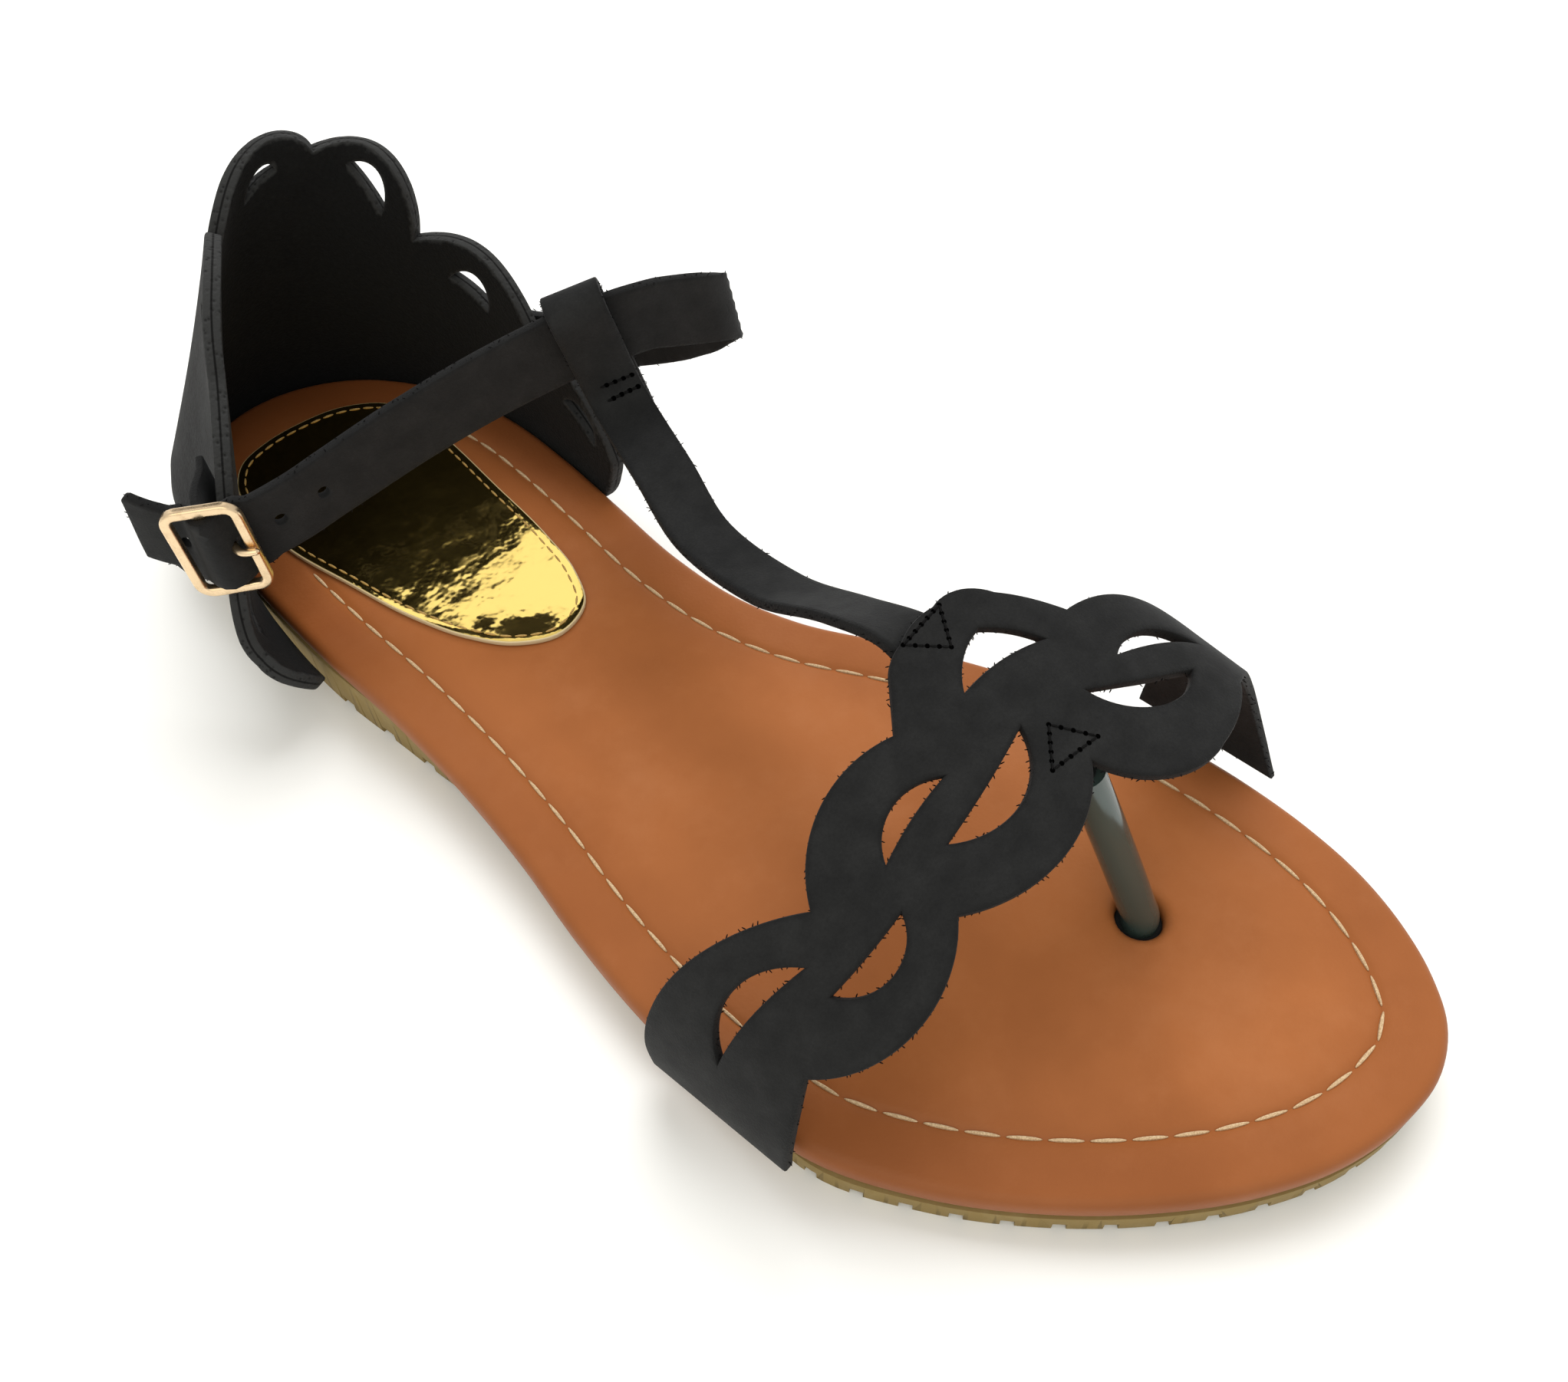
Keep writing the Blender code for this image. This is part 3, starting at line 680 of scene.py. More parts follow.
def effect(name: str, inputs: Sequence[str], outputs: Sequence[str]) -> tuple[NodeTree, Any, Any]:
    """Start a shared node group that takes coordinates.

    Args:
        name: The effect's name.
        inputs: Names of the numbers that it takes.
        outputs: Names of the numbers that it gives.

    Returns:
        The tree, its input node's sockets and its output node's sockets.
    """
    tree = bpy.data.node_groups.new(name, "ShaderNodeTree")
    tree.interface.new_socket(name="Coords", in_out="INPUT", socket_type="NodeSocketVector")
    for way, labels in (("INPUT", inputs), ("OUTPUT", outputs)):
        for label in labels:
            tree.interface.new_socket(name=label, in_out=way, socket_type="NodeSocketFloat")
    return tree, tree.nodes.new("NodeGroupInput").outputs, tree.nodes.new("NodeGroupOutput").inputs


@dataclass
class Effects:
    """Node groups that several finishes share."""

    grain: NodeTree = field(init=False)
    fray: NodeTree = field(init=False)
    scuff: NodeTree = field(init=False)

    def __post_init__(self) -> None:
        """Build each group once."""
        self.build_grain()
        self.build_fray()
        self.build_scuff()

    @staticmethod
    def noise(tree: NodeTree, coords: Socket, scale: Socket, detail: float, rough: float) -> Socket:
        """Cloudy noise.

        Args:
            tree: Where it goes.
            coords: Places on the surface.
            scale: Clouds to the metre.
            detail: How many finer layers it has.
            rough: How strong they are.

        Returns:
            The noise's value.
        """
        made = tree.nodes.new("ShaderNodeTexNoise")
        for name, value in (("Vector", coords), ("Scale", scale), ("Detail", detail), ("Roughness", rough)):
            feed(tree, made.inputs[name], value)
        return made.outputs["Fac"]

    def build_grain(self) -> None:
        """Hide: fine fibre height and broad clouding."""
        self.grain, into, out = effect("hide_grain", ("Fine", "Broad"), ("Height", "Mottle"))
        feed(self.grain, out["Height"], self.noise(self.grain, into["Coords"], into["Fine"], 5.0, 0.65))
        feed(self.grain, out["Mottle"], self.noise(self.grain, into["Coords"], into["Broad"], 4.0, 0.55))

    def build_fray(self) -> None:
        """Cut edge: how frayed a place is, from its nearness to the edge."""
        self.fray, into, out = effect("edge_fray", ("Rim", "Size"), ("Mask",))
        patches = self.noise(self.fray, into["Coords"], into["Size"], 3.0, 0.6)
        grown = combine(self.fray, "SUBTRACT", into["Rim"], combine(self.fray, "MULTIPLY", patches, 0.9))
        feed(self.fray, out["Mask"], combine(self.fray, "MULTIPLY", grown, 2.4, True))

    def build_scuff(self) -> None:
        """Handling marks: sparse soft patches."""
        self.scuff, into, out = effect("handling_scuff", ("Size",), ("Mask",))
        clouds = self.noise(self.scuff, into["Coords"], into["Size"], 6.0, 0.7)
        lifted = combine(self.scuff, "SUBTRACT", clouds, 0.5)
        feed(self.scuff, out["Mask"], combine(self.scuff, "MULTIPLY", lifted, 3.5, True))


@dataclass
class Finish:
    """A material of the sandal and the nodes that it is made of.

    Attributes:
        effects: The shared node groups.
        name: The material's name.
        fine: Fibres of its grain to the metre.
        broad: Clouds of its grain to the metre.
        marks: Scuffs or frayed patches to the metre.
        relief: Depth of its relief in millimetres.
        firm: Strength of its relief.
    """

    effects: Effects
    name: str = ""
    fine: float = 1600.0
    broad: float = 120.0
    marks: float = 180.0
    relief: float = 0.06
    firm: float = 1.0
    material: bpy.types.Material = field(init=False)
    tree: NodeTree = field(init=False)
    shader: bpy.types.Node = field(init=False)
    coords: Socket = field(init=False)

    def __post_init__(self) -> None:
        """Start the material with its main shader and paint it."""
        self.material = bpy.data.materials.new(self.name)
        self.material.use_nodes = True
        self.tree = self.material.node_tree
        self.shader = self.tree.nodes["Principled BSDF"]
        self.coords = self.tree.nodes.new("ShaderNodeTexCoord").outputs["Object"]
        self.paint()

    def paint(self) -> None:
        """Put the nodes together."""
        raise NotImplementedError

    def fill(self, node: bpy.types.Node, inputs: dict[str, Any]) -> bpy.types.Node:
        """Set or link a node's inputs by name.

        Args:
            node: The node.
            inputs: Its inputs, with low lines for the spaces in their names.

        Returns:
            The same node.
        """
        for name, value in inputs.items():
            feed(self.tree, node.inputs[name.replace("_", " ")], value)
        return node

    def set(self, **inputs: Any) -> None:
        """Set or link the main shader's inputs."""
        self.fill(self.shader, inputs)

    def node(self, kind: str, **inputs: Any) -> bpy.types.Node:
        """Add a node that reads places on the surface."""
        return self.fill(self.tree.nodes.new(kind), {"Vector": self.coords, **inputs})

    def group(self, tree: NodeTree, **inputs: Any) -> bpy.types.Node:
        """Place a shared effect with its own values.

        Args:
            tree: The effect.
            inputs: Its values.

        Returns:
            The effect's node.
        """
        made = self.tree.nodes.new("ShaderNodeGroup")
        made.node_tree = tree
        return self.fill(made, {"Coords": self.coords, **inputs})

    def hide(self) -> tuple[Socket, Socket]:
        """Height and clouding of the grain."""
        made = self.group(self.effects.grain, Fine=self.fine, Broad=self.broad).outputs
        return made["Height"], made["Mottle"]

    def frayed(self) -> Socket:
        """How frayed the cut edges are."""
        return self.group(self.effects.fray, Rim=self.read("rim"), Size=self.marks).outputs["Mask"]

    def scuffed(self) -> Socket:
        """Where handling has marked the surface."""
        return self.group(self.effects.scuff, Size=self.marks).outputs["Mask"]

    def cells(self, scale: float) -> Socket:
        """Distance to the nearest of many scattered points."""
        return self.node("ShaderNodeTexVoronoi", Scale=scale).outputs["Distance"]

    def sum(self, kind: str, first: Any, second: Any) -> Socket:
        """Arithmetic on two values."""
        return combine(self.tree, kind, first, second)

    def times(self, first: Any, second: Any) -> Socket:
        """Product of two values."""
        return combine(self.tree, "MULTIPLY", first, second)

    def spread(self, value: Any, *ends: float) -> Socket:
        """Map a range of values onto another one, or onto 0 to 1."""
        return ramp(self.tree, value, ends if len(ends) == 4 else (*ends, 0.0, 1.0))

    def blend(self, share: Any, first: Any, second: Any) -> Socket:
        """Mix two colours."""
        return mix(self.tree, share, first, second)

    def shade(self, colour: Any, share: Socket) -> Socket:
        """A colour made darker or lighter.

        Args:
            colour: A socket or a colour.
            share: What it is multiplied by.

        Returns:
            The new colour.
        """
        grey = self.tree.nodes.new("ShaderNodeCombineXYZ")
        for socket in grey.inputs:
            feed(self.tree, socket, share)
        return mix(self.tree, 1.0, colour, grey.outputs[0], "MULTIPLY")

    def read(self, name: str) -> Socket:
        """A number that the mesh carries.

        Args:
            name: The number's name.

        Returns:
            Its socket.
        """
        made = self.tree.nodes.new("ShaderNodeAttribute")
        made.attribute_name = name
        return made.outputs["Fac"]

    def bump(self, height: Socket) -> None:
        """Raise the surface by a height."""
        values = {"Strength": self.firm, "Distance": self.relief * MM, "Height": height}
        self.set(Normal=self.fill(self.tree.nodes.new("ShaderNodeBump"), values).outputs["Normal"])


@dataclass
class Nubuck(Finish):
    """Charcoal nubuck with a short nap and frayed cut edges."""

    name: str = "charcoal_nubuck"
    fine: float = 2600.0
    broad: float = 210.0
    marks: float = 900.0
    relief: float = 0.09
    firm: float = 0.8
    dark: Colour = (0.0075, 0.0077, 0.008)
    light: Colour = (0.012, 0.0122, 0.0124)
    edge: Colour = (0.0045, 0.0045, 0.0047)
    sheen: Colour = (0.7, 0.72, 0.75)

    def paint(self) -> None:
        """Nap that is mottled and speckled, darker and tufted where its edges are frayed."""
        (height, mottle), fray = self.hide(), self.frayed()
        nap = self.blend(self.spread(mottle, 0.35, 0.68), self.dark, self.light)
        toned = self.shade(nap, self.spread(height, 0.3, 0.75, 0.72, 1.25))
        self.set(
            Base_Color=self.blend(self.times(fray, 0.75), toned, self.edge),
            Roughness=self.spread(mottle, 0.3, 0.7, 0.8, 0.72),
            Specular_IOR_Level=0.24, Sheen_Weight=0.04, Sheen_Roughness=0.5, Sheen_Tint=self.sheen,
        )
        tufts = self.times(fray, self.times(height, 1.6))
        self.bump(self.sum("ADD", height, tufts))


@dataclass
class LinedSuede(Finish):
    """Counter: nubuck outside, dark suede inside, two layers with a pricked cut edge."""

    name: str = "lined_suede"
    fine: float = 1500.0
    broad: float = 220.0
    marks: float = 800.0
    relief: float = 0.2
    firm: float = 0.9
    pricks: float = 900.0
    inner: Colour = (0.0034, 0.0036, 0.0038)
    outer: Colour = (0.014, 0.0143, 0.0148)
    edge: Colour = (0.034, 0.0345, 0.0345)
    line: Colour = (0.0025, 0.0025, 0.0025)

    def paint(self) -> None:
        """Two sides by depth, a worn and pricked edge, and the line between the layers."""
        height, mottle = self.hide()
        rim, depth = self.read("rim"), self.read("depth")
        near, pits = self.spread(rim, 0.3, 0.9), self.spread(self.cells(self.pricks), 0.1, 0.5)
        side = self.blend(self.spread(depth, 0.25, 0.75), self.inner, self.outer)
        toned = self.shade(side, self.spread(height, 0.3, 0.75, 0.5, 1.7))
        worn = self.blend(self.times(self.frayed(), 0.85), toned, self.edge)
        pricked = self.blend(self.times(self.spread(pits, 0.0, 0.5, 0.7, 0.0), near), worn, self.line)
        middle = self.sum("ABSOLUTE", self.sum("SUBTRACT", depth, 0.5), 0.0)
        seam = self.times(self.spread(middle, 0.03, 0.09, 1.0, 0.0), self.spread(rim, 0.75, 0.95))
        self.set(
            Base_Color=self.blend(seam, pricked, self.line),
            Roughness=self.spread(mottle, 0.3, 0.7, 0.92, 0.8),
            Specular_IOR_Level=0.16, Sheen_Weight=0.03, Sheen_Roughness=0.6,
        )
        self.bump(self.sum("ADD", height, self.times(pits, near)))


@dataclass
class TanLeather(Finish):
    """Smooth tan footbed cover, clouded by its dye."""

    name: str = "tan_cover"
    fine: float = 1900.0
    broad: float = 34.0
    marks: float = 60.0
    relief: float = 0.035
    firm: float = 0.6
    pores: float = 1500.0
    deep: Colour = (0.29, 0.092, 0.024)
    main: Colour = (0.36, 0.119, 0.034)
    rubbed: Colour = (0.42, 0.158, 0.056)
    burnish_and_shade_tone: Colour = (0.162, 0.043, 0.01)

    def paint(self) -> None:
        """Clouded dye, rubbed in places, darker at the edge and heel as burnish and painted shade, and dark
        in the seam's groove.
        """
        (height, mottle), scuff = self.hide(), self.scuffed()
        clouded = self.blend(self.spread(mottle, 0.3, 0.62), self.deep, self.main)
        rubbed = self.blend(self.times(scuff, 0.4), clouded, self.rubbed)
        # One dark tone for burnish at the edge and painted shade at the heel seat.
        shaded = self.blend(self.read("burnish_and_painted_shade"), rubbed, self.burnish_and_shade_tone)
        self.set(
            Base_Color=self.blend(self.times(self.read("groove"), 0.6), shaded, self.deep),
            Roughness=self.spread(scuff, 0.0, 1.0, 0.5, 0.4),
            Specular_IOR_Level=0.22,
        )
        self.bump(self.sum("ADD", height, self.times(self.cells(self.pores), 0.8)))


@dataclass
class GoldFoil(Finish):
    """Mirror gold foil on leather, slightly rippled, with a pale cut edge."""

    name: str = "gold_foil"
    fine: float = 260.0
    broad: float = 70.0
    marks: float = 240.0
    relief: float = 0.2
    firm: float = 0.6
    gold: Colour = (0.97, 0.71, 0.21)
    pale: Colour = (0.62, 0.5, 0.3)

    def paint(self) -> None:
        """Bare metal with broad ripples; the cut edge is dull leather."""
        height, mottle = self.hide()
        cut = self.spread(self.read("rim"), 0.72, 0.86)
        worn = self.spread(self.scuffed(), 0.0, 1.0, 0.07, 0.16)
        self.set(
            Base_Color=self.blend(cut, self.gold, self.pale),
            Metallic=self.spread(cut, 0.0, 1.0, 1.0, 0.1),
            Roughness=self.sum("ADD", worn, self.times(cut, 0.4)),
        )
        self.bump(self.sum("ADD", self.times(mottle, 3.0), self.times(height, 0.06)))


@dataclass
class Gilt(Finish):
    """Light gold plating, rubbed in soft patches."""

    name: str = "light_gilt"
    fine: float = 2600.0
    broad: float = 400.0
    marks: float = 500.0
    relief: float = 0.02
    firm: float = 0.5
    gold: Colour = (0.83, 0.63, 0.4)
    worn: Colour = (0.62, 0.45, 0.27)

    def paint(self) -> None:
        """Plating that is rubbed in places."""
        height, mottle = self.hide()
        self.set(
            Base_Color=self.blend(self.scuffed(), self.gold, self.worn),
            Metallic=1.0,
            Roughness=self.spread(mottle, 0.3, 0.7, 0.2, 0.36),
        )
        self.bump(height)


@dataclass
class Thread(Finish):
    """Twisted sewing thread."""

    name: str = "cream_thread"
    fine: float = 4200.0
    broad: float = 700.0
    light: Colour = (0.72, 0.55, 0.34)
    dark: Colour = (0.42, 0.27, 0.14)
    rough: float = 0.7
    gloss: float = 0.4

    def paint(self) -> None:
        """Strands of two tones."""
        height, mottle = self.hide()
        self.set(
            Base_Color=self.blend(self.spread(height, 0.35, 0.65), self.dark, self.light),
            Roughness=self.spread(mottle, 0.3, 0.7, self.rough - 0.1, self.rough + 0.1),
            Specular_IOR_Level=self.gloss,
        )
        self.bump(height)


@dataclass
class CrepeRubber(Finish):
    """Olive-cream moulded rubber with a dusty bloom and a ribbed tread."""

    name: str = "cream_rubber"
    ribs: float = 48.0
    rib_relief: float = 14.0
    main: Colour = (0.25, 0.175, 0.062)
    dusty: Colour = (0.34, 0.26, 0.12)

    def paint(self) -> None:
        """Dusty rubber, ribbed where it is underneath."""
        height, mottle = self.hide()
        tread = self.node("ShaderNodeTexWave", Scale=self.ribs, Distortion=0.0, Detail=0.0)
        tread.bands_direction = "Y"
        self.set(
            Base_Color=self.blend(self.times(self.scuffed(), 0.6), self.main, self.dusty),
            Roughness=self.spread(mottle, 0.3, 0.7, 0.62, 0.8),
            Specular_IOR_Level=0.25,
        )
        ribs = self.times(self.spread(tread.outputs["Fac"], 0.35, 0.6), self.read("under"))
        self.bump(self.sum("ADD", height, self.times(ribs, self.rib_relief)))


@dataclass
class SoftTube(Finish):
    """Clear grey tube, slightly hazy, over a dark core."""

    name: str = "smoke_tube"
    fine: float = 900.0
    broad: float = 160.0
    relief: float = 0.03
    firm: float = 0.5
    smoke: Colour = (0.04, 0.068, 0.062)

    def paint(self) -> None:
        """Glossy smoke with a faint unevenness."""
        _, mottle = self.hide()
        self.set(
            Base_Color=self.smoke, Transmission_Weight=0.05, IOR=1.5, Specular_IOR_Level=0.8,
            Roughness=self.spread(mottle, 0.3, 0.7, 0.07, 0.14),
        )
        self.bump(mottle)


@dataclass
class PaleFloor(Finish):
    """Plain floor of the studio."""

    name: str = "pale_floor"
    tone: Colour = (0.9, 0.9, 0.885)

    def paint(self) -> None:
        """One even tone."""
        self.set(Base_Color=self.tone, Roughness=0.7, Specular_IOR_Level=0.2)


class Finishes:
    """All finishes of the sandal and its floor."""

    def __init__(self) -> None:
        """Make each finish once."""
        effects = Effects()
        self.floor = PaleFloor(effects).material
        self.nubuck = Nubuck(effects).material
        self.suede = LinedSuede(effects).material
        self.tan = TanLeather(effects).material
        self.foil = GoldFoil(effects).material
        self.gilt = Gilt(effects).material
        self.cream = Thread(effects).material
        gold = {"light": (0.58, 0.38, 0.13), "dark": (0.3, 0.18, 0.05), "rough": 0.5}
        self.gold_thread = Thread(effects, "gold_thread", **gold).material
        black = {"light": (0.006, 0.006, 0.0063), "dark": (0.0015, 0.0015, 0.0015), "rough": 0.65}
        self.black = Thread(effects, "black_thread", gloss=0.1, **black).material
        # Near-black finish for flat discs at needle holes: painted shade in the holes.
        hole = {"light": (0.001, 0.001, 0.001), "dark": (0.0005, 0.0005, 0.0005), "rough": 0.85}
        self.hole = Thread(effects, "needle_hole_shade", gloss=0.0, **hole).material
        self.rubber = CrepeRubber(effects).material
        self.tube = SoftTube(effects).material


def hold(bm: BMesh, name: str) -> bpy.types.Object:
    """Put a finished mesh into the scene.

    Args:
        bm: The mesh in metres, freed here.
        name: Its name.

    Returns:
        The object that holds it.
    """
    mesh = bpy.data.meshes.new(name)
    bm.to_mesh(mesh)
    bm.free()
    made = bpy.data.objects.new(name, mesh)
    bpy.context.scene.collection.objects.link(made)
    return made


def show(
    bm: BMesh, name: str, finish: bpy.types.Material,
    nodes: Sequence[str] = (),
) -> bpy.types.Object:
    """Turn a finished mesh into a piece of the sandal.

    Args:
        bm: The mesh in metres, freed here.
        name: The piece's name.
        finish: Its material.
        nodes: Solids that it stands for.

    Returns:
        The piece.
    """
    bmesh.ops.recalc_face_normals(bm, faces=bm.faces[:])
    piece = hold(bm, name)
    mesh = piece.data
    mesh.shade_smooth()
    mesh.set_sharp_from_angle(angle=CREASE)
    mesh.materials.append(finish)
    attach(piece, BODY)
    if nodes:
        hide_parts(*nodes)
    mesh.calc_loop_triangles()
    LOG.info("%s: %d triangles", name, len(mesh.loop_triangles))
    return piece


# The sandal


@dataclass
class Last:
    """Heights and outline of the foot form that the sole follows; a span is its start and its length."""

    outline: tuple[Row, ...] = (
        (3.5, -4), (5, -12), (10, -19.6), (19, -25.8), (32, -29.4), (48, -31.6), (68, -33.4), (90, -34.2),
        (108, -35.8), (124, -38.3), (140, -41.8), (156, -44.4), (174, -45.6), (190, -44), (204, -38.2),
        (217, -30), (228.5, -20.4), (238.5, -9.4), (245, 1), (248.6, 12), (249.2, 20), (246.8, 28), (242, 34),
        (235, 39.5), (226.5, 43.9), (216, 46.9), (204, 48.4), (188, 48.2), (172, 45.6), (156, 41),
        (140, 34.6), (126, 28), (114, 24.8), (100, 24.2), (82, 26.2), (65, 28.4), (50, 29.6), (36, 28.5),
        (24, 24.6), (14, 18.3), (7.5, 10.5), (4.2, 2.5),
    )
    forefoot_top: float = 9.0
    heel_rise: float = 5.5
    toe_spring: float = 2.4
    arch_lift: float = 2.6
    waist_inset: float = 2.2
    waist_spans: tuple[Row, Row] = ((82, 16), (172, 18))
    toe_span: Row = (205, 45)
    heel_span: Row = (60, 90)
    arch_span: Row = (88, 50)
    edge: Curve = field(init=False)
    sole_edge: Curve = field(init=False)

    def __post_init__(self) -> None:
        """Fit the outlines of s and x; the outsole's is drawn in at the waist."""
        self.edge = Curve(self.outline, closed=True)
        s, x = np.array(self.outline, float).T
        rear, front = (ease(share_of(s, span)) for span in self.waist_spans)
        inset = self.waist_inset * rear * (1 - front)
        self.sole_edge = Curve(np.column_stack((s, x - np.sign(x) * inset)), closed=True)

    def toe_lift(self, s: Array) -> Array:
        """Rise of the sole towards its toe."""
        return self.toe_spring * np.clip(share_of(s, self.toe_span), 0, 1) ** 2

    def top(self, s: Array) -> Array:
        """Height of the footbed's upper face."""
        return self.forefoot_top + self.heel_rise * (1 - ease(share_of(s, self.heel_span))) + self.toe_lift(s)

    def tread(self, s: Array) -> Array:
        """Height of the tread: flat under heel and ball, lifted at the arch and the toe."""
        arch = np.clip(share_of(s, self.arch_span), 0, 1)
        return self.arch_lift * np.sin(np.pi * arch) ** 2 + self.toe_lift(s)


@dataclass
class Sole:
    """Outsole, footbed, its edge seam and the heel patch."""

    last: Last
    finishes: Finishes
    footbed_thick: float = 5.0
    footbed_round: float = 1.9
    footbed_sit: float = 0.05
    seam_in: float = 9.1
    seam_deep: float = 0.55
    seam_wide: float = 0.75
    stitch_pitch: float = 5.69
    stitch_size: tuple[float, float, float] = (5.0, 0.62, 0.85)
    cushion: float = 0.21
    burnish_and_painted_shade: tuple[float, float] = (0.33, 0.3)
    post_hole: tuple[float, float, float] = (204.2, 15.9, 3.7)
    hole_shade_deep: float = 2.6
    rib_high: float = 1.7
    rib_deep: float = 2.6
    rib_change: float = 138.0
    toe_ribs: tuple[float, float] = (7.0, 2.0)
    heel_ribs: tuple[float, float] = (11.0, 3.2)
    middle: tuple[float, float] = (125.0, 3.0)
    patch_thick: float = 1.0
    patch_rounding: float = 0.3
    patch_in: float = 1.6
    patch_pitch: float = 2.7
    patch_size: tuple[float, float, float] = (2.2, 0.4, 0.42)
    patch: tuple[Row, ...] = (
        (17, -8), (18.5, -14), (23, -18.5), (32, -21.5), (45, -22.6), (60, -21), (76, -18.5), (86, -15.2),
        (93.5, -10.5), (97.8, -3.5), (96, 4.2), (89.5, 8.2), (79, 10.9), (63, 13.4), (46, 16.2), (34, 17.4),
        (26, 15.5), (20, 9), (17.3, 0),
    )

    def build(self) -> None:
        """Build and dress every piece of the sole."""
        self.build_outsole()
        self.build_footbed()
        self.build_seam()
        self.build_patch()

    def build_outsole(self) -> None:
        """Rubber sole with grooves cut round its rim."""
        pattern = Pattern(self.last.sole_edge.spaced(2.0), spacing=7.0)
        bm = pattern.blank()
        thicken(bm, 1.0, 0.0)
        s, x, depth = flat_places(bm).T
        low = depth > 0.5
        height = np.where(low, self.last.tread(s), self.last.top(s) - self.footbed_thick - self.footbed_sit)
        put(bm, world(x, s, height))
        mark(bm, "under", low)
        sole = show(bm, "rubber_outsole", self.finishes.rubber, ["outsole"])
        self.cut_grooves(sole)

    def cut_grooves(self, sole: bpy.types.Object) -> None:
        """Notch the rim: fine teeth round the toe, blocks round the waist and heel.

        Args:
            sole: The plain outsole, changed in place.
        """
        bm = bmesh.new()
        edge, margin, over = self.last.sole_edge, 4.0, 2.0
        inset, length = (over - self.rib_deep) / 2, margin
        while length < edge.length - margin:
            s, x = edge.at(length)
            ts, tx = unit(edge.at(length + PROBE) - edge.at(length - PROBE))
            pitch, wide = self.heel_ribs if s < self.rib_change else self.toe_ribs
            out = 1.0 if (s - self.middle[0]) * -tx + (x - self.middle[1]) * ts > 0 else -1.0
            high = float(self.last.tread(s)) + (self.rib_high - over) / 2
            centre = world(x + ts * out * inset, s - tx * out * inset, high)
            turn = Matrix(((tx, ts * out, 0), (-ts, tx * out, 0), (0, 0, 1))).to_4x4()
            size = Matrix.Diagonal((wide * MM, (over + self.rib_deep) * MM, (self.rib_high + over) * MM, 1))
            bmesh.ops.create_cube(bm, size=1.0, matrix=Matrix.Translation(centre) @ turn @ size)
            length += pitch
        bmesh.ops.recalc_face_normals(bm, faces=bm.faces[:])
        cutter = hold(bm, "rim_grooves")
        cut = sole.modifiers.new("rim_grooves", "BOOLEAN")
        cut.operation, cut.solver, cut.object = "DIFFERENCE", "EXACT", cutter
        soften = sole.modifiers.new("moulded_edges", "BEVEL")
        soften.width, soften.segments, soften.limit_method = 0.3 * MM, 2, "ANGLE"
        soften.angle_limit = math.radians(45)
        bpy.context.view_layer.update()
        made = bpy.data.meshes.new_from_object(sole.evaluated_get(bpy.context.evaluated_depsgraph_get()))
        sole.modifiers.clear()
        sole.data = made
        made.shade_smooth()
        made.set_sharp_from_angle(angle=CREASE)
        bpy.data.objects.remove(cutter)

    def build_footbed(self) -> None:
        """Board wrapped in tan leather, rounded at its edge, with the seam's groove and the post's hole."""
        edge, (s_hole, x_hole, radius) = self.last.edge, self.post_hole
        lines = [edge.beside(-(self.seam_in + d), 1.4) for d in (-1.5, -0.8, 0.0, 0.8, 1.5)]
        rim = [edge.beside(-d, 1.8) for d in (3.0, 5.0)]
        hole = ring(s_hole, x_hole, radius, 28)
        bm = Pattern(edge.spaced(1.3), [hole], 4.0, np.concatenate([*lines, *rim])).blank()
        thicken(bm, self.footbed_thick, self.footbed_round, 5)
        s, x, depth = flat_places(bm).T
        upper = depth < 0.05
        inward = nearest(np.column_stack((s, x)), edge.spaced(0.4))
        groove = np.exp(-((inward - self.seam_in) / self.seam_wide) ** 2) * upper * self.sewn(s, x)
        cushion = self.cushion * ease((inward - 1.5) / 6.0) * (1 - ease((inward - 5.0) / 4.0)) * upper
        mark(bm, "groove", groove)
        # Darker towards the edge and most at the heel seat: partly burnish, partly painted shade where the
        # counter, strap and buckle shadow the heel.
        heel = 1 - ease((s - 62) / 28)
        mark(bm, "burnish_and_painted_shade", (1 - ease((inward - 4) / 15)) * (self.burnish_and_painted_shade[0] + self.burnish_and_painted_shade[1] * heel))
        put(bm, world(x, s, self.last.top(s) - depth - self.seam_deep * groove + cushion))
        show(bm, "tan_footbed", self.finishes.tan, ["footbed"])
        self.build_hole_shade()

    def build_hole_shade(self) -> None:
        """Dark disc that closes the post's hole: painted shade in the hole round the post."""
        s, x, radius = self.post_hole
        bm, seat = bmesh.new(), (radius - 0.05) * MM
        bmesh.ops.create_cone(bm, cap_ends=True, segments=28, radius1=seat, radius2=seat, depth=0.6 * MM)
        bmesh.ops.bevel(
            bm, geom=bm.edges[:], offset=0.2 * MM, offset_type="OFFSET", affect="EDGES", segments=2,
            profile=0.5, material=-1,
        )
        middle = world(x, s, float(self.last.top(s)) - self.hole_shade_deep)
        bmesh.ops.translate(bm, verts=bm.verts[:], vec=middle)
        mark(bm, "rim", np.zeros(len(bm.verts)))
        show(bm, "post_hole_shade", self.finishes.nubuck)

    @staticmethod
    def sewn(s: Array, x: Array) -> Array:
        """Where the edge seam runs: not round the back of the heel."""
        return ease((s - np.where(x > 0, 40, 50)) / 4)

    def sew(self, line: Curve, lengths: Array, lift: float) -> tuple[Array, Array, Array]:
        """Stitches along a line on the footbed.

        Args:
            line: The seam's line of s and x.
            lengths: Where on it the stitches lie.
            lift: Height of their middles over the footbed.

        Returns:
            Their middles, ways along and ways up.
        """
        s, x = line.at(lengths).T
        ends = [line.at(lengths + d).T for d in (-0.4, 0.4)]
        low, high = (world(side, at, self.last.top(at)) for at, side in ends)
        ups = np.tile((0.0, 0.0, 1.0), (len(s), 1))
        return world(x, s, self.last.top(s) + lift), unit(high - low), ups

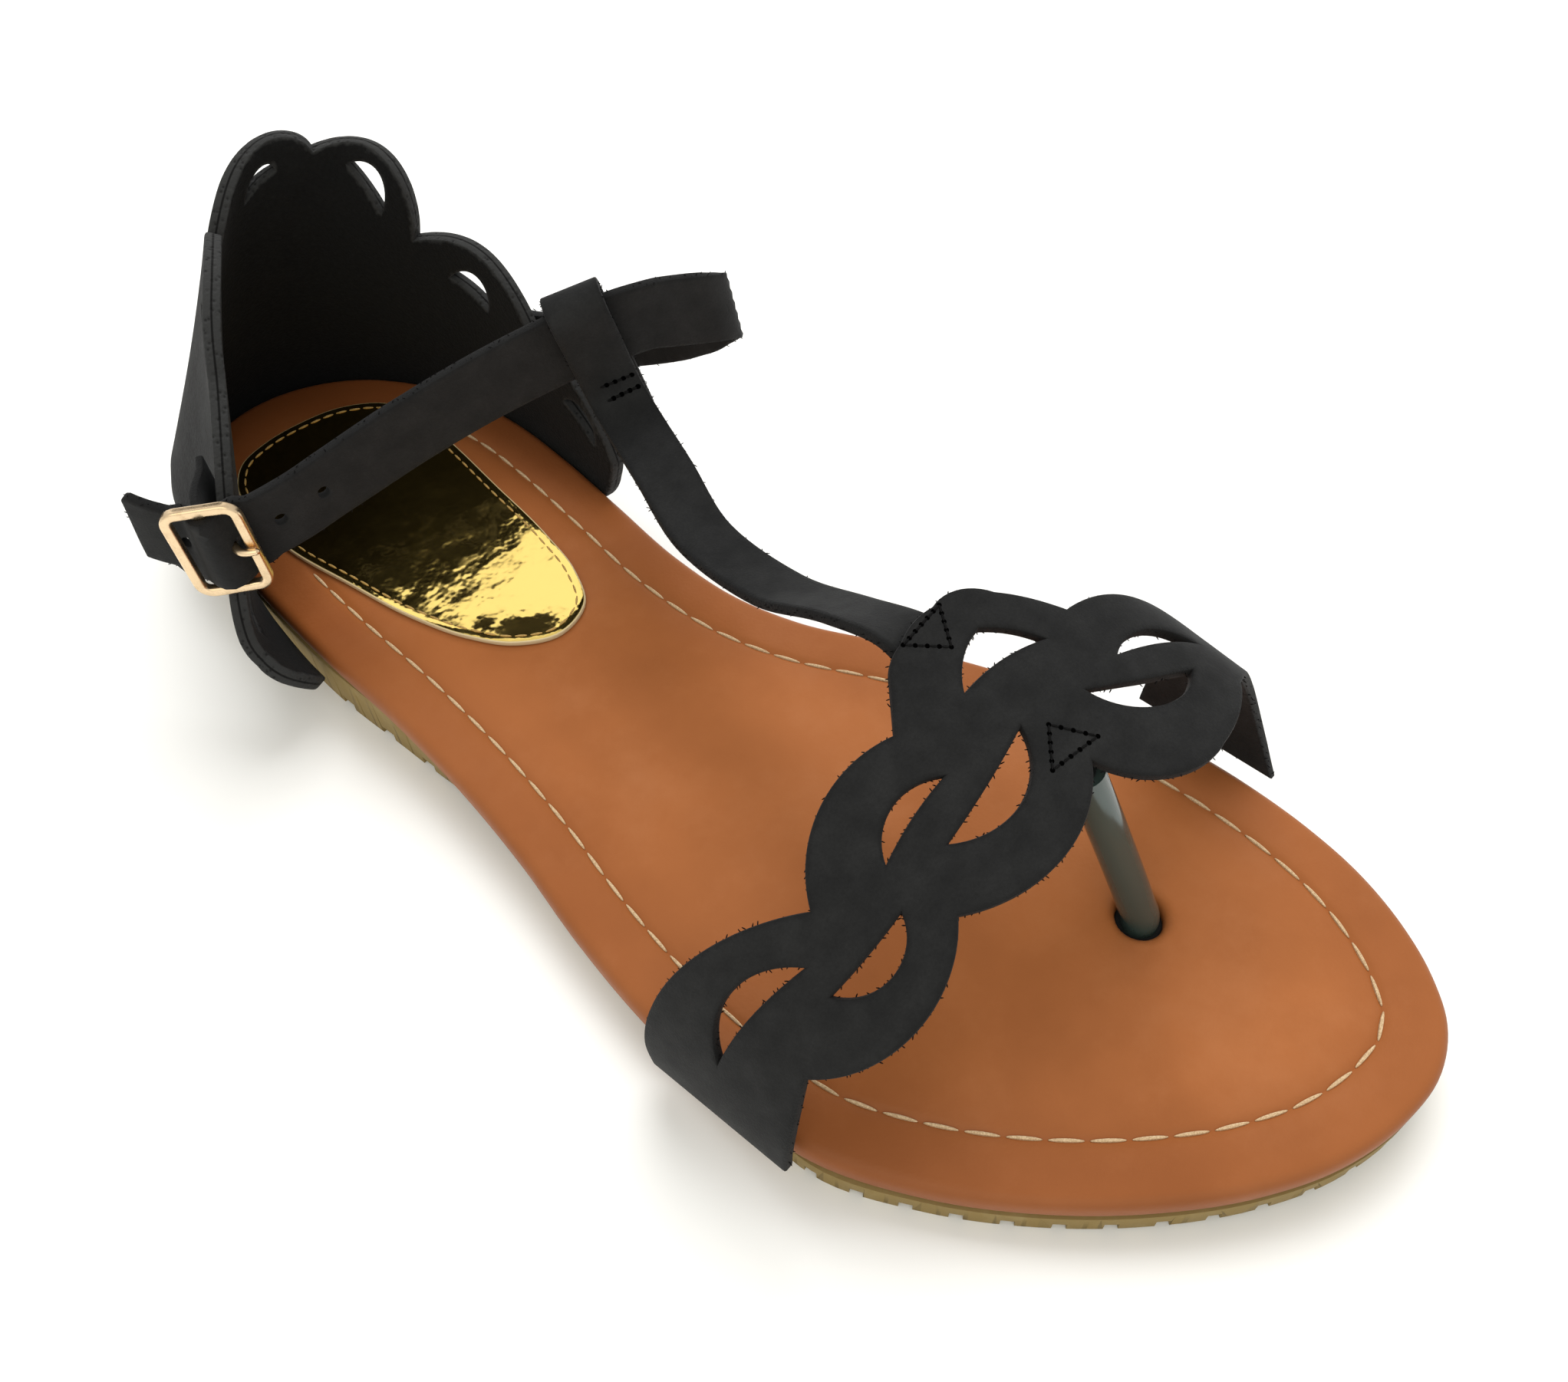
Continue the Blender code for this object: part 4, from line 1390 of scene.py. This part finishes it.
    def build_seam(self) -> None:
        """Cream edge seam: one long stitch after another in its groove."""
        line = Curve(self.last.edge.beside(-self.seam_in, 2.0), closed=True, steps=6)
        lengths = line.shares(self.stitch_pitch)
        lengths = lengths[self.sewn(*line.at(lengths).T) > 0.5]
        stitches = beads(*self.sew(line, lengths, -0.42), self.stitch_size, (8, 8))
        show(stitches, "edge_seam", self.finishes.cream)

    def build_patch(self) -> None:
        """Foil patch on the heel seat with a stitched rim."""
        edge = Curve(self.patch, closed=True)
        pattern = Pattern(edge.spaced(1.2), spacing=3.0, extra=edge.beside(-self.patch_in, 1.2))
        bm = cut_leather(pattern, self.patch_thick, self.patch_rounding)
        s, x, depth = flat_places(bm).T
        inward = nearest(np.column_stack((s, x)), edge.spaced(0.4))
        dip = 0.16 * np.exp(-((inward - self.patch_in) / 0.7) ** 2) * (depth < 0.05)
        put(bm, world(x, s, self.last.top(s) + self.patch_thick + 0.02 - depth - dip))
        show(bm, "foil_patch", self.finishes.foil, ["heel_patch"])
        line = Curve(edge.beside(-self.patch_in, 2.0), closed=True, steps=6)
        sewing = self.sew(line, line.shares(self.patch_pitch), self.patch_thick - 0.1)
        show(beads(*sewing, self.patch_size), "patch_seam", self.finishes.gold_thread)


@dataclass
class Vamp:
    """Scalloped strap over the ball of the foot with half-moon cut-outs."""

    finishes: Finishes
    thick: float = 1.8
    station: float = 183.2
    skew: float = 0.156
    taper: float = 0.006
    crown_x: float = 15.2
    foot: float = 2.5
    rounding: float = 0.4
    fibre_depths: tuple[float, float] = (0.6, 1.7)
    stitch_pitch: float = 1.5
    stitch_size: tuple[float, float, float] = (1.2, 0.42, 0.45)
    prick_shade_size: tuple[float, float, float] = (0.75, 0.75, 0.14)
    section_rows: tuple[Row, ...] = (
        (-47.9, 2.5), (-48.2, 12), (-43, 26), (-30, 37.5), (-13, 44), (6, 47), (25, 47), (40, 42.5),
        (48.8, 31), (52.8, 16), (51.4, 3),
    )
    edge: tuple[Row, ...] = (
        (-86, -13, 4.6), (-45, -2.5, 4.2), (-20.6, -11, 0), (-15.5, -16.5, 0.6), (-10, -19.8, 0.6),
        (-2.5, -21.2, 1.6), (5.8, -18, 0.4), (11.9, -10.5, 4), (33, 2, 3), (62.5, -9, 0), (62.5, 16, -4.5),
        (23.5, 11.2, 0.8), (11, 16.8, 4), (-5.1, 8, 5.2), (-33.1, 11, 6.4), (-62.6, 10, 0.8),
        (-82.5, 12.5, 0),
    )
    moons: tuple[Row, ...] = (
        (-71, -1.3, -51, 1.5, 4.4), (-37.5, 5.8, -51.5, 6.3, 4.3), (-34.2, 0.3, -20.4, -2.8, 3.2),
        (-8, -1.3, -26.9, 3.8, 5), (18.3, 6.2, 2.8, 0.3, 4.8), (11.5, -1.3, 24.5, 2.7, 3),
    )
    dart: tuple[Row, ...] = ((-9.4, -9.4, 1), (-0.6, -15, 0.6), (5, -8.6, -0.8))
    stitch_triangles: tuple[tuple[Row, ...], ...] = (
        ((-10, -19.4), (-1.8, -20.8), (-5.6, -15.2)), ((-5.2, 0.8), (-1.8, 6), (-10, 5.6)),
    )
    section: Curve = field(init=False)
    crown: float = field(init=False)

    def __post_init__(self) -> None:
        """Fit the section over the foot and find its crown."""
        self.section = Curve(self.section_rows)
        over = slice(2 * STEPS, -2 * STEPS)
        x, lengths = self.section.points[over, 0], self.section.lengths[over]
        self.crown = float(np.interp(self.crown_x, x, lengths))

    def spots(self, u: Array, v: Array) -> Array:
        """Outer face in metres.

        Args:
            u: Distance along the section from its crown.
            v: Distance towards the toe.

        Returns:
            One point per place.
        """
        x, z = self.section.at(self.crown + u).T
        high = self.foot + (z - self.foot) * (1 - self.taper * v)
        return world(x, self.station + self.skew * x + v, high)

    def build(self) -> None:
        """Cut the strap, lay it over the foot form and sew its triangles."""
        outline = arcs(self.edge, 0.9)
        holes = [moon(row, 0.8) for row in self.moons] + [arcs(self.dart, 0.8)]
        bm = cut_leather(Pattern(outline, holes, 1.5), self.thick, self.rounding)
        lay(bm, self, Side.IN)
        show(bm, "scalloped_vamp", self.finishes.nubuck, ["vamp_strap"])
        loose = fibres(self, [outline, *holes], Side.IN, self.fibre_depths)
        show(loose, "vamp_fibres", self.finishes.black)
        self.sew()

    def sew(self) -> None:
        """Stitches round two small triangles, with near-black discs at their needle holes as painted shade.
        """
        spots, ways, ups, pricks = [], [], [], []
        for corners in self.stitch_triangles:
            for first, last in zip(np.array(corners), np.roll(corners, -1, axis=0)):
                size = np.linalg.norm(last - first)
                count = max(round(float(size) / self.stitch_pitch), 2)
                share = np.arange(count)[:, None]
                u, v = (first + (last - first) * ((share + 0.5) / count)).T
                du, dv = (last - first) / size * PROBE
                spots.append(self.spots(u, v))
                ways.append(unit(self.spots(u + du, v + dv) - self.spots(u - du, v - dv)))
                ups.append(-laid_normals(self, u, v))
                pricks.append(self.spots(*(first + (last - first) * (share / count)).T))
        middles, holes, way, up = (np.concatenate(rows) for rows in (spots, pricks, ways, ups))
        show(beads(middles, way, up, self.stitch_size), "vamp_stitches", self.finishes.black)
        # Flat near-black discs at the needle holes: painted shade in the holes.
        show(beads(holes, way, up, self.prick_shade_size), "vamp_prick_shade", self.finishes.hole)


@dataclass
class Counter:
    """High scalloped heel cup leaning slackly forwards and inwards."""

    last: Last
    finishes: Finishes
    thick: float = 2.8
    bottom: float = 6.0
    lean_start: float = 11.0
    lean_high: float = 60.0
    rounding: float = 0.45
    flare: float = 8.5
    flare_span: Row = (56, 24)
    flare_foot: float = 0.05
    flare_high: float = 16.0
    sink: float = 0.6
    lean_rows: tuple[Row, ...] = (
        (-97, 2, 3, 1.5), (-78, 8, 0, 1.3), (-66, 12.5, -2, 1.1), (-60, 15.5, -4, 1), (-45, 21.7, -1, 0.9),
        (-30, 26.7, 1, 0.95), (0, 22, 16, 1), (30, 7, 21, 1.1), (60, 1, 13, 1.1), (97, 0, 6, 1.1),
    )
    edge: tuple[Row, ...] = (
        (-81, 2.5, 0), (87, 1, 2), (95.5, 16, 4.5), (69.2, 33, 6.3), (32.8, 45.5, 8.3), (0, 64, 8.3),
        (-27, 55.5, 7.8), (-57, 46.5, 2.2), (-70, 21, 0.5), (-78.5, 13, 1), (-82.5, 9.5, 0.8),
    )
    moons: tuple[Row, ...] = (
        (23, 50.5, 10, 60.5, 4.5), (55.6, 33, 44, 38, 5), (89.5, 17.5, 80, 23, 4.2), (-8.5, 62, -16, 58, 3.5),
        (-38, 49, -49, 44.5, 3.5), (-64, 19.5, -72.5, 12, 2),
    )
    base: Curve = field(init=False)
    back: float = field(init=False)
    rounds: Array = field(init=False)
    lean: Array = field(init=False)
    slopes: Array = field(init=False)

    def __post_init__(self) -> None:
        """Fit the line that the wall stands on, and its lean."""
        self.base = Curve(self.last.edge.beside(GAP + 0.1, 4.0), closed=True, steps=8)
        self.back = float(self.base.lengths[np.argmin(self.base.points[:, 0])])
        table = np.array(self.lean_rows, float)
        self.rounds, self.lean = table[:, 0], table[:, 1:]
        self.slopes = np.gradient(self.lean, self.rounds, axis=0)

    def leaned(self, around: Array) -> Array:
        """Lean of the wall at its full height.

        Args:
            around: Distances round the heel.

        Returns:
            Lean in x and in s, and the power by which it grows.
        """
        around = np.clip(around, self.rounds[0], self.rounds[-1])
        i = np.minimum(np.searchsorted(self.rounds, around, side="right") - 1, len(self.rounds) - 2)
        size = self.rounds[i + 1] - self.rounds[i]
        share = ((around - self.rounds[i]) / size)[:, None]
        slopes = (self.slopes[i] * size[:, None], self.slopes[i + 1] * size[:, None])
        return hermite(share, (self.lean[i], self.lean[i + 1]), slopes)

    def spots(self, u: Array, v: Array) -> Array:
        """Inner face in metres.

        Args:
            u: Distance round the heel, minus on the outer side.
            v: Distance up the wall.

        Returns:
            One point per place.
        """
        s, x = self.base.at(self.back - u).T
        spread = self.flare_foot + (1 - self.flare_foot) * ease(v / self.flare_high)
        x = x - self.flare * ease(share_of(-u, self.flare_span)) * spread
        dx, ds, power = self.leaned(u).T
        share = np.maximum((v - self.lean_start) / (self.lean_high - self.lean_start), 0.0) ** power
        dx, ds = dx * share, ds * share
        high = np.sqrt(np.maximum(v * v - self.sink * (dx * dx + ds * ds), 0.3 * v * v))
        return world(x + dx, s + ds, self.bottom + high)

    def build(self) -> None:
        """Cut the cup and stand it round the heel."""
        holes = [moon(row, 0.8) for row in self.moons]
        bm = cut_leather(Pattern(arcs(self.edge, 0.9), holes, 1.7), self.thick, self.rounding)
        lay(bm, self, Side.OUT)
        show(bm, "scalloped_counter", self.finishes.suede, ["heel_counter"])


@dataclass
class AnkleStrap:
    """Buckled strap with punched holes, folded back on the inner side."""

    finishes: Finishes
    wide: float = 13.0
    thick: float = 1.8
    buckle_at: float = 15.8
    buckle_long: float = 12.8
    buckle_wire: float = 1.8
    buckle_thick: float = 1.7
    hump: float = 4.0
    rounding: float = 0.4
    fibre_depths: tuple[float, float] = (-0.8, 0.6)
    hole_radius: float = 1.0
    window_fill: float = 0.8
    corner_fill: float = 1.1
    corner_span: tuple[float, float] = (-3.6, -2.4)
    fold_spans: tuple[Row, Row] = ((93, 8), (120, 10))
    holes: tuple[float, ...] = (11, 18.6, 26, 34)
    path_rows: tuple[Row, ...] = (
        (-46.2, 46.6, 42, 0), (-43.2, 51.6, 39.6, 0), (-39, 57.2, 38.2, 0), (-33, 61.7, 38.6, 0),
        (-26, 64.2, 39.8, 0), (-19, 65.8, 41.3, 0), (-4, 71, 46, 0), (10.4, 77.4, 50.5, 0),
        (23.9, 85.7, 55, 2), (31.4, 91.2, 57, 4), (37, 94.8, 56.6, 9), (41.8, 97.6, 55.8, 14),
        (44.6, 97.6, 54.4, 16), (45.2, 95.2, 52, 12), (43.8, 90.8, 48.6, 4), (42, 83, 44.6, 0),
        (40.4, 76, 41.2, 0), (37.7, 68, 37.8, 0), (35.2, 59, 34, 0), (34.7, 50, 31.5, 0),
    )
    fold_up: tuple[float, float, float] = (-0.1, -0.14, 0.985)
    path: Curve = field(init=False)

    def __post_init__(self) -> None:
        """Fit the centre line."""
        self.path = Curve(self.path_rows)

    def axes(self, length: Array) -> tuple[Array, Array, Array, Array]:
        """Directions of the strap.

        Args:
            length: Distances from the tip.

        Returns:
            Centre, way along, way up across the width and way out, as x, s and z.
        """
        along = self.path.tangent(length)
        rows = self.path.at(length)
        up = unit(np.array((0, 0, 1.0)) - along * along[..., 2:])
        out = np.cross(up, along)
        lean = np.radians(rows[..., 3:])
        up = up * np.cos(lean) + out * np.sin(lean)
        start, end = (ease(share_of(length, span)) for span in self.fold_spans)
        fold = (start * (1 - end))[..., None]
        up = unit(up * (1 - fold) + np.array(self.fold_up) * fold)
        return rows[..., :3], along, up, unit(np.cross(up, along))

    def wave(self, length: Array) -> Array:
        """The strap rises over the buckle's middle bar."""
        near = np.abs((length - self.buckle_at) / (self.buckle_long / 2 - self.buckle_wire))
        return self.hump * (0.5 + 0.5 * np.cos(np.pi * np.clip(near, 0, 1)))

    def spots(self, u: Array, v: Array) -> Array:
        """Middle of the strap: u from its tip, v up across its width."""
        centre, _, up, out = self.axes(u)
        return world(*(centre + up * np.asarray(v)[:, None] + out * self.wave(u)[:, None]).T)

    def build(self) -> None:
        """Cut and lay the strap."""
        half, end = self.wide / 2, self.path.length
        full, reach = half + self.window_fill, self.buckle_long / 2 + 1
        first, last = self.buckle_at - reach, self.buckle_at + reach
        low = full + self.corner_fill
        corner, side = (self.buckle_at + at for at in self.corner_span)
        rows = (
            (0.5, half - 1, 0), (4.5, -half, 0), (first, -half, 0), (first + 1.5, -low, 0), (corner, -low, 0),
            (side, -full, 0), (last - 2, -full, 0), (last, -half, 0), (end - 2, -half, 0.5),
            (end, -half + 2, 0), (end, half - 2, 0.5), (end - 2, half, 0), (last, half, 0),
            (last - 2, full, 0), (first + 2, full, 0), (first, half, 0), (2, half, 0.5),
        )
        outline = arcs(rows, 0.9)
        holes = [ring(at, 0, self.hole_radius, 12) for at in self.holes]
        bm = Pattern(outline, holes, 1.2).blank()
        thicken(bm, self.thick, self.rounding)
        mark_edges(bm, Pattern(outline), self.thick)
        lay(bm, self, Side.OUT, -self.thick / 2)
        show(bm, "ankle_strap_leather", self.finishes.nubuck, ["ankle_strap"])
        loose = fibres(self, [outline], Side.OUT, self.fibre_depths)
        show(loose, "ankle_fibres", self.finishes.black)


@dataclass
class TStrap:
    """Strap from under the vamp's crown to a stitched loop round the ankle strap."""

    ankle: AnkleStrap
    finishes: Finishes
    wide: float = 9.8
    thick: float = 1.7
    rounding: float = 0.38
    fibre_depths: tuple[float, float] = (-0.7, 0.6)
    stitch_size: tuple[float, float, float] = (1.0, 0.5, 0.5)
    prick_shade_size: tuple[float, float, float] = (0.95, 0.95, 0.18)
    prick_shade_step: float = 0.7
    loop_at: float = 84.9
    loop_back: float = 20.0
    path_rows: tuple[Row, ...] = (
        (9.2, 167.5, 47.6, -9, -3), (9.2, 160, 49.2, -9, -15), (9.3, 152, 46.6, -10, -18),
        (10, 137, 40.5, -14, -8), (12.2, 120, 39.2, -20, -5), (16.8, 107.4, 42, -27, 2),
    )
    path: Curve = field(init=False)
    plain: float = field(init=False)

    def __post_init__(self) -> None:
        """Fit the centre line on from the strap's run round the ankle strap."""
        centre, along, up, out = self.ankle.axes(np.array(self.loop_at))
        away = self.ankle.thick / 2 + 2 * GAP + self.thick / 2
        top = self.ankle.wide / 2 + 2 * GAP + self.thick / 2
        turn = -math.degrees(math.atan2(along[1], along[0]))
        rise = math.degrees(math.asin(along[2]))
        wrap = [
            (away, -top - 2), (away, 0), (away, top - 1.2), (away * 0.7, top - 0.1), (0, top + 0.5),
            (-away * 0.7, top - 0.1), (-away, top - 1.2), (-away, 0), (-away, -top + 1),
            (-away - 0.5, -self.loop_back),
        ]
        loop = [(*(centre + out * n + up * u), turn, rise) for n, u in wrap]
        self.path = Curve([*self.path_rows, *loop])
        self.plain = Curve([*self.path_rows, loop[0]]).length

    def spots(self, u: Array, v: Array) -> Array:
        """Middle of the strap in metres.

        Args:
            u: Distance from its front end.
            v: Distance across.

        Returns:
            One point per place.
        """
        rows, tangent = self.path.at(u), self.path.tangent(u)
        turn, rise = np.radians(rows[:, 3]), np.radians(rows[:, 4])
        side = np.column_stack((np.cos(turn), -np.sin(turn), np.tan(rise)))
        side = unit(side - tangent * np.sum(side * tangent, axis=1)[:, None])
        place = rows[:, :3] + side * np.asarray(v)[:, None]
        return world(*place.T)

    def build(self) -> None:
        """Cut the strap, lay it and sew its loop."""
        end = self.path.length
        bm = strip(end, self.wide, self.thick, self.rounding, (round(end / 0.6), 10))
        lay(bm, self, Side.OUT, -self.thick / 2)
        show(bm, "t_strap_leather", self.finishes.nubuck, ["t_strap"])
        loose = fibres(self, [strip_edge(end, self.wide)], Side.OUT, self.fibre_depths)
        show(loose, "t_strap_fibres", self.finishes.black)
        v = np.tile(np.linspace(-1.4, 3.2, 4), 2)
        u = np.repeat((self.plain - 0.2, self.plain + 2.9), 4)
        ways = unit(self.spots(u, v + PROBE) - self.spots(u, v - PROBE))
        ups = laid_normals(self, u, v)
        ups = ups * np.sign(ups[:, 2:] + 1e-9)
        spots = self.spots(u, v) + ups * (self.thick / 2 + 0.02) * MM
        show(beads(spots, ways, ups, self.stitch_size), "loop_stitches", self.finishes.black)
        # Flat near-black discs next to the stitches: painted shade in the needle holes.
        between = spots + ways * self.prick_shade_step * MM
        show(beads(between, ways, ups, self.prick_shade_size), "loop_prick_shade", self.finishes.hole)


@dataclass
class Buckle:
    """Small gold buckle, its prong and the leather tab that holds it."""

    ankle: AnkleStrap
    finishes: Finishes
    wide: float = 19.0
    bar: float = 1.2
    corner: float = 3.0
    stand: float = 2.7
    bar_drop: float = 1.7
    rounding: float = 0.5
    prong_radius: float = 0.7
    prong_rows: tuple[Row, ...] = ((2.3, -0.9), (2.9, 0.2), (3.8, 1.3))
    prong_sink: float = 0.25
    prong_rest: float = 4.9
    prong_over: float = 0.4
    tab_wide: float = 7.0
    tab_thick: float = 1.4
    tab_rounding: float = 0.35
    tab_path: tuple[Row, ...] = (
        (-36.7, 58, 39), (-37, 54.5, 39), (-34.5, 50, 38.8), (-31.2, 46.5, 38.6), (-29.4, 43.6, 38.4),
    )
    centre: Array = field(init=False)
    along: Array = field(init=False)
    up: Array = field(init=False)
    out: Array = field(init=False)

    def __post_init__(self) -> None:
        """Take the buckle's seat from the strap."""
        self.centre, self.along, self.up, self.out = self.ankle.axes(np.array(self.ankle.buckle_at))
        self.centre = self.centre + self.out * self.stand

    def spots(self, u: Array, v: Array) -> Array:
        """Middle of the buckle in metres, its bar bent inwards.

        Args:
            u: Distance along the strap.
            v: Distance up across it.

        Returns:
            One point per place.
        """
        inner = self.wide / 2 - self.ankle.buckle_wire
        drop = self.bar_drop * ease((1.9 - np.abs(u)) / 1.2) * ease((inner - np.abs(v)) / 1.1)
        place = self.centre + np.outer(u, self.along) + np.outer(v, self.up) - np.outer(drop, self.out)
        return world(*place.T)

    @staticmethod
    def box(long: float, wide: float, corner: float, centre: float = 0.0) -> Array:
        """Rounded box outline.

        Args:
            long: Its length.
            wide: Its width.
            corner: Radius of its corners.
            centre: Where its middle lies along the strap.

        Returns:
            The outline's points.
        """
        a, b, bulge = long / 2, wide / 2, corner * (1 - math.sqrt(0.5))
        rows: list[Row] = []
        for x, y in ((1, -1), (1, 1), (-1, 1), (-1, -1)):
            first, second = (a - corner, b), (a, b - corner)
            if x * y > 0:
                first, second = second, first
            rows.append((centre + x * first[0], y * first[1], bulge))
            rows.append((centre + x * second[0], y * second[1], 0))
        return arcs(rows, 0.5)

    def build(self) -> None:
        """Build the frame, the prong and the tab."""
        long, wire, thick = self.ankle.buckle_long, self.ankle.buckle_wire, self.ankle.buckle_thick
        window = (long - 2 * wire - self.bar) / 2
        middle = (window + self.bar) / 2
        windows = [self.box(window, self.wide - 2 * wire, 0.8, k * middle) for k in (-1, 1)]
        bm = Pattern(self.box(long, self.wide, self.corner), windows, 0.8).blank()
        thicken(bm, thick, self.rounding, 4)
        lay(bm, self, Side.OUT, -thick / 2)
        show(bm, "gilt_frame", self.finishes.gilt, ["buckle_frame"])
        self.build_prong()
        self.build_tab()

    def taper(self, share: Array) -> Array:
        """Radius of the prong, rounded off at its tip."""
        tip = np.sqrt(np.clip((1.02 - share) / 0.1, 0.05, 1))
        return self.prong_radius * (1.05 - 0.25 * share) * tip

    def build_prong(self) -> None:
        """Prong from the middle bar over the frame."""
        rest = self.ankle.buckle_thick / 2 + GAP + self.prong_radius - self.prong_sink
        ends = ((self.prong_rest, rest), (self.ankle.buckle_long / 2 + self.prong_over, rest))
        path = Curve([self.centre + self.along * a + self.out * b for a, b in (*self.prong_rows, *ends)])
        bm = rod(path, self.taper, 40, 14)
        show(bm, "gilt_prong", self.finishes.gilt, ["buckle_prong"])

    def build_tab(self) -> None:
        """Leather tab from the middle bar to the counter."""
        path = Curve(self.tab_path)
        bm = strip(path.length, self.tab_wide, self.tab_thick, self.tab_rounding, (14, 12))
        lay(bm, Tab(path, self.up), Side.OUT, -self.tab_thick / 2)
        show(bm, "buckle_tab_leather", self.finishes.nubuck, ["buckle_tab"])


@dataclass
class Tab:
    """Middle surface of the buckle's tab."""

    path: Curve
    up: Array

    def spots(self, u: Array, v: Array) -> Array:
        """u along the tab, v up across it."""
        return world(*(self.path.at(u) + np.asarray(v)[:, None] * self.up).T)


@dataclass
class ToePost:
    """Clear grey tube over a dark core between the first two toes."""

    finishes: Finishes
    radius: float = 2.9
    core: float = 1.6
    path_rows: tuple[Row, ...] = (
        (11.5, 191.6, 39.6), (13.2, 197, 27), (15.3, 203, 12), (15.9, 204.2, 8.4), (15.9, 204.2, 4.4),
    )

    def build(self) -> None:
        """Build the tube and its core."""
        path = Curve(self.path_rows)
        bm = rod(path, lambda t: np.full_like(t, self.radius), 60, 28)
        show(bm, "post_sleeve", self.finishes.tube, ["toe_post"])
        bm = rod(path, lambda t: self.core + 0.12 * np.sin(t * 46), 90, 16)
        mark(bm, "rim", np.zeros(len(bm.verts)))
        show(bm, "post_core", self.finishes.nubuck)


@dataclass
class Studio:
    """Pale floor, soft light and the camera."""

    finishes: Finishes
    place: tuple[float, float, float] = (-0.09127, -0.05588, 0.18918)
    yaw: float = 0.829
    pitch: float = 0.8999
    roll: float = -0.0401
    lens: float = 30.496
    sensor: float = 36.0
    aim: tuple[float, float, float] = (0.0, 0.03, 0.02)
    flag_way: tuple[float, float, float] = (0.33, 0.72, 0.61)
    flag_edge: tuple[float, float] = (0.969, 0.974)
    card_edge: tuple[float, float] = (0.86, 0.92)
    surround: tuple[float, float] = (0.74, 1.18)
    card_tone: Colour = (1.0, 0.99, 0.97)
    flag_tone: Colour = (0.01, 0.01, 0.01)

    def build(self) -> None:
        """Set up the studio."""
        self.build_floor()
        self.build_light()
        self.build_camera()

    def build_floor(self) -> None:
        """Plain pale floor."""
        bm = bmesh.new()
        bmesh.ops.create_grid(bm, x_segments=2, y_segments=2, size=3.0)
        floor = hold(bm, "studio_floor")
        floor.data.materials.append(self.finishes.floor)

    def build_light(self) -> None:
        """Bright surround with two large soft boxes."""
        scene = bpy.context.scene
        sky = bpy.data.worlds.new("studio_surround")
        sky.use_nodes = True
        self.hang_flag(sky.node_tree)
        scene.world = sky
        scene.view_settings.view_transform = "Standard"
        for name, spot, size, power, tint in (
            ("soft_box_key", (0.55, 0.35, 0.9), 0.9, 11.0, (1.0, 1.0, 1.0)),
            ("soft_box_fill", (-0.7, -0.5, 0.9), 1.2, 4.3, (1.0, 0.965, 0.78)),
        ):
            data = bpy.data.lights.new(name, "AREA")
            data.size, data.energy, data.color = size, power, tint
            light = bpy.data.objects.new(name, data)
            light.location = spot
            light.visible_glossy = name != "soft_box_key"
            way = Vector(self.aim) - Vector(spot)
            light.rotation_euler = way.to_track_quat("-Z", "Y").to_euler()
            scene.collection.objects.link(light)

    def hang_flag(self, tree: NodeTree) -> None:
        """A dark flag on a bright card behind the heel, which the foil mirrors.

        Args:
            tree: The surround's nodes.
        """
        toward = tree.nodes.new("ShaderNodeVectorMath")
        toward.operation = "DOT_PRODUCT"
        toward.inputs[1].default_value = self.flag_way
        feed(tree, toward.inputs[0], tree.nodes.new("ShaderNodeTexCoord").outputs["Generated"])
        flag = ramp(tree, toward.outputs["Value"], (*self.flag_edge, 0.0, 1.0))
        card = ramp(tree, toward.outputs["Value"], (*self.card_edge, *self.surround))
        back = tree.nodes["Background"].inputs
        feed(tree, back["Color"], mix(tree, flag, self.card_tone, self.flag_tone))
        feed(tree, back["Strength"], card)

    def build_camera(self) -> None:
        """Camera at the photo's angle."""
        (cy, sy), (cp, sp), (cr, sr) = (
            (math.cos(angle), math.sin(angle)) for angle in (self.yaw, self.pitch, self.roll)
        )
        ahead = Vector((sy * cp, cy * cp, -sp))
        flat_right = Vector((cy, -sy, 0))
        flat_up = flat_right.cross(ahead)
        right, up = cr * flat_right + sr * flat_up, -sr * flat_right + cr * flat_up
        data = bpy.data.cameras.new("studio_camera")
        data.sensor_width, data.lens = self.sensor, self.lens
        data.clip_start, data.clip_end = 0.01, 20.0
        camera = bpy.data.objects.new("studio_camera", data)
        turn = Matrix((right, up, -ahead)).transposed().to_4x4()
        camera.matrix_world = Matrix.Translation(self.place) @ turn
        bpy.context.scene.collection.objects.link(camera)
        bpy.context.scene.camera = camera


def write_size() -> None:
    """Bring the scene's data up to date."""
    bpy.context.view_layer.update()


def main() -> None:
    """Build the sandal and its studio."""
    logging.basicConfig(level=logging.INFO, format="%(name)s: %(message)s")
    finishes = Finishes()
    Studio(finishes).build()
    last = Last()
    Sole(last, finishes).build()
    Vamp(finishes).build()
    Counter(last, finishes).build()
    ankle = AnkleStrap(finishes)
    ankle.build()
    TStrap(ankle, finishes).build()
    Buckle(ankle, finishes).build()
    ToePost(finishes).build()
    write_size()


if __name__ == "__main__":
    main()
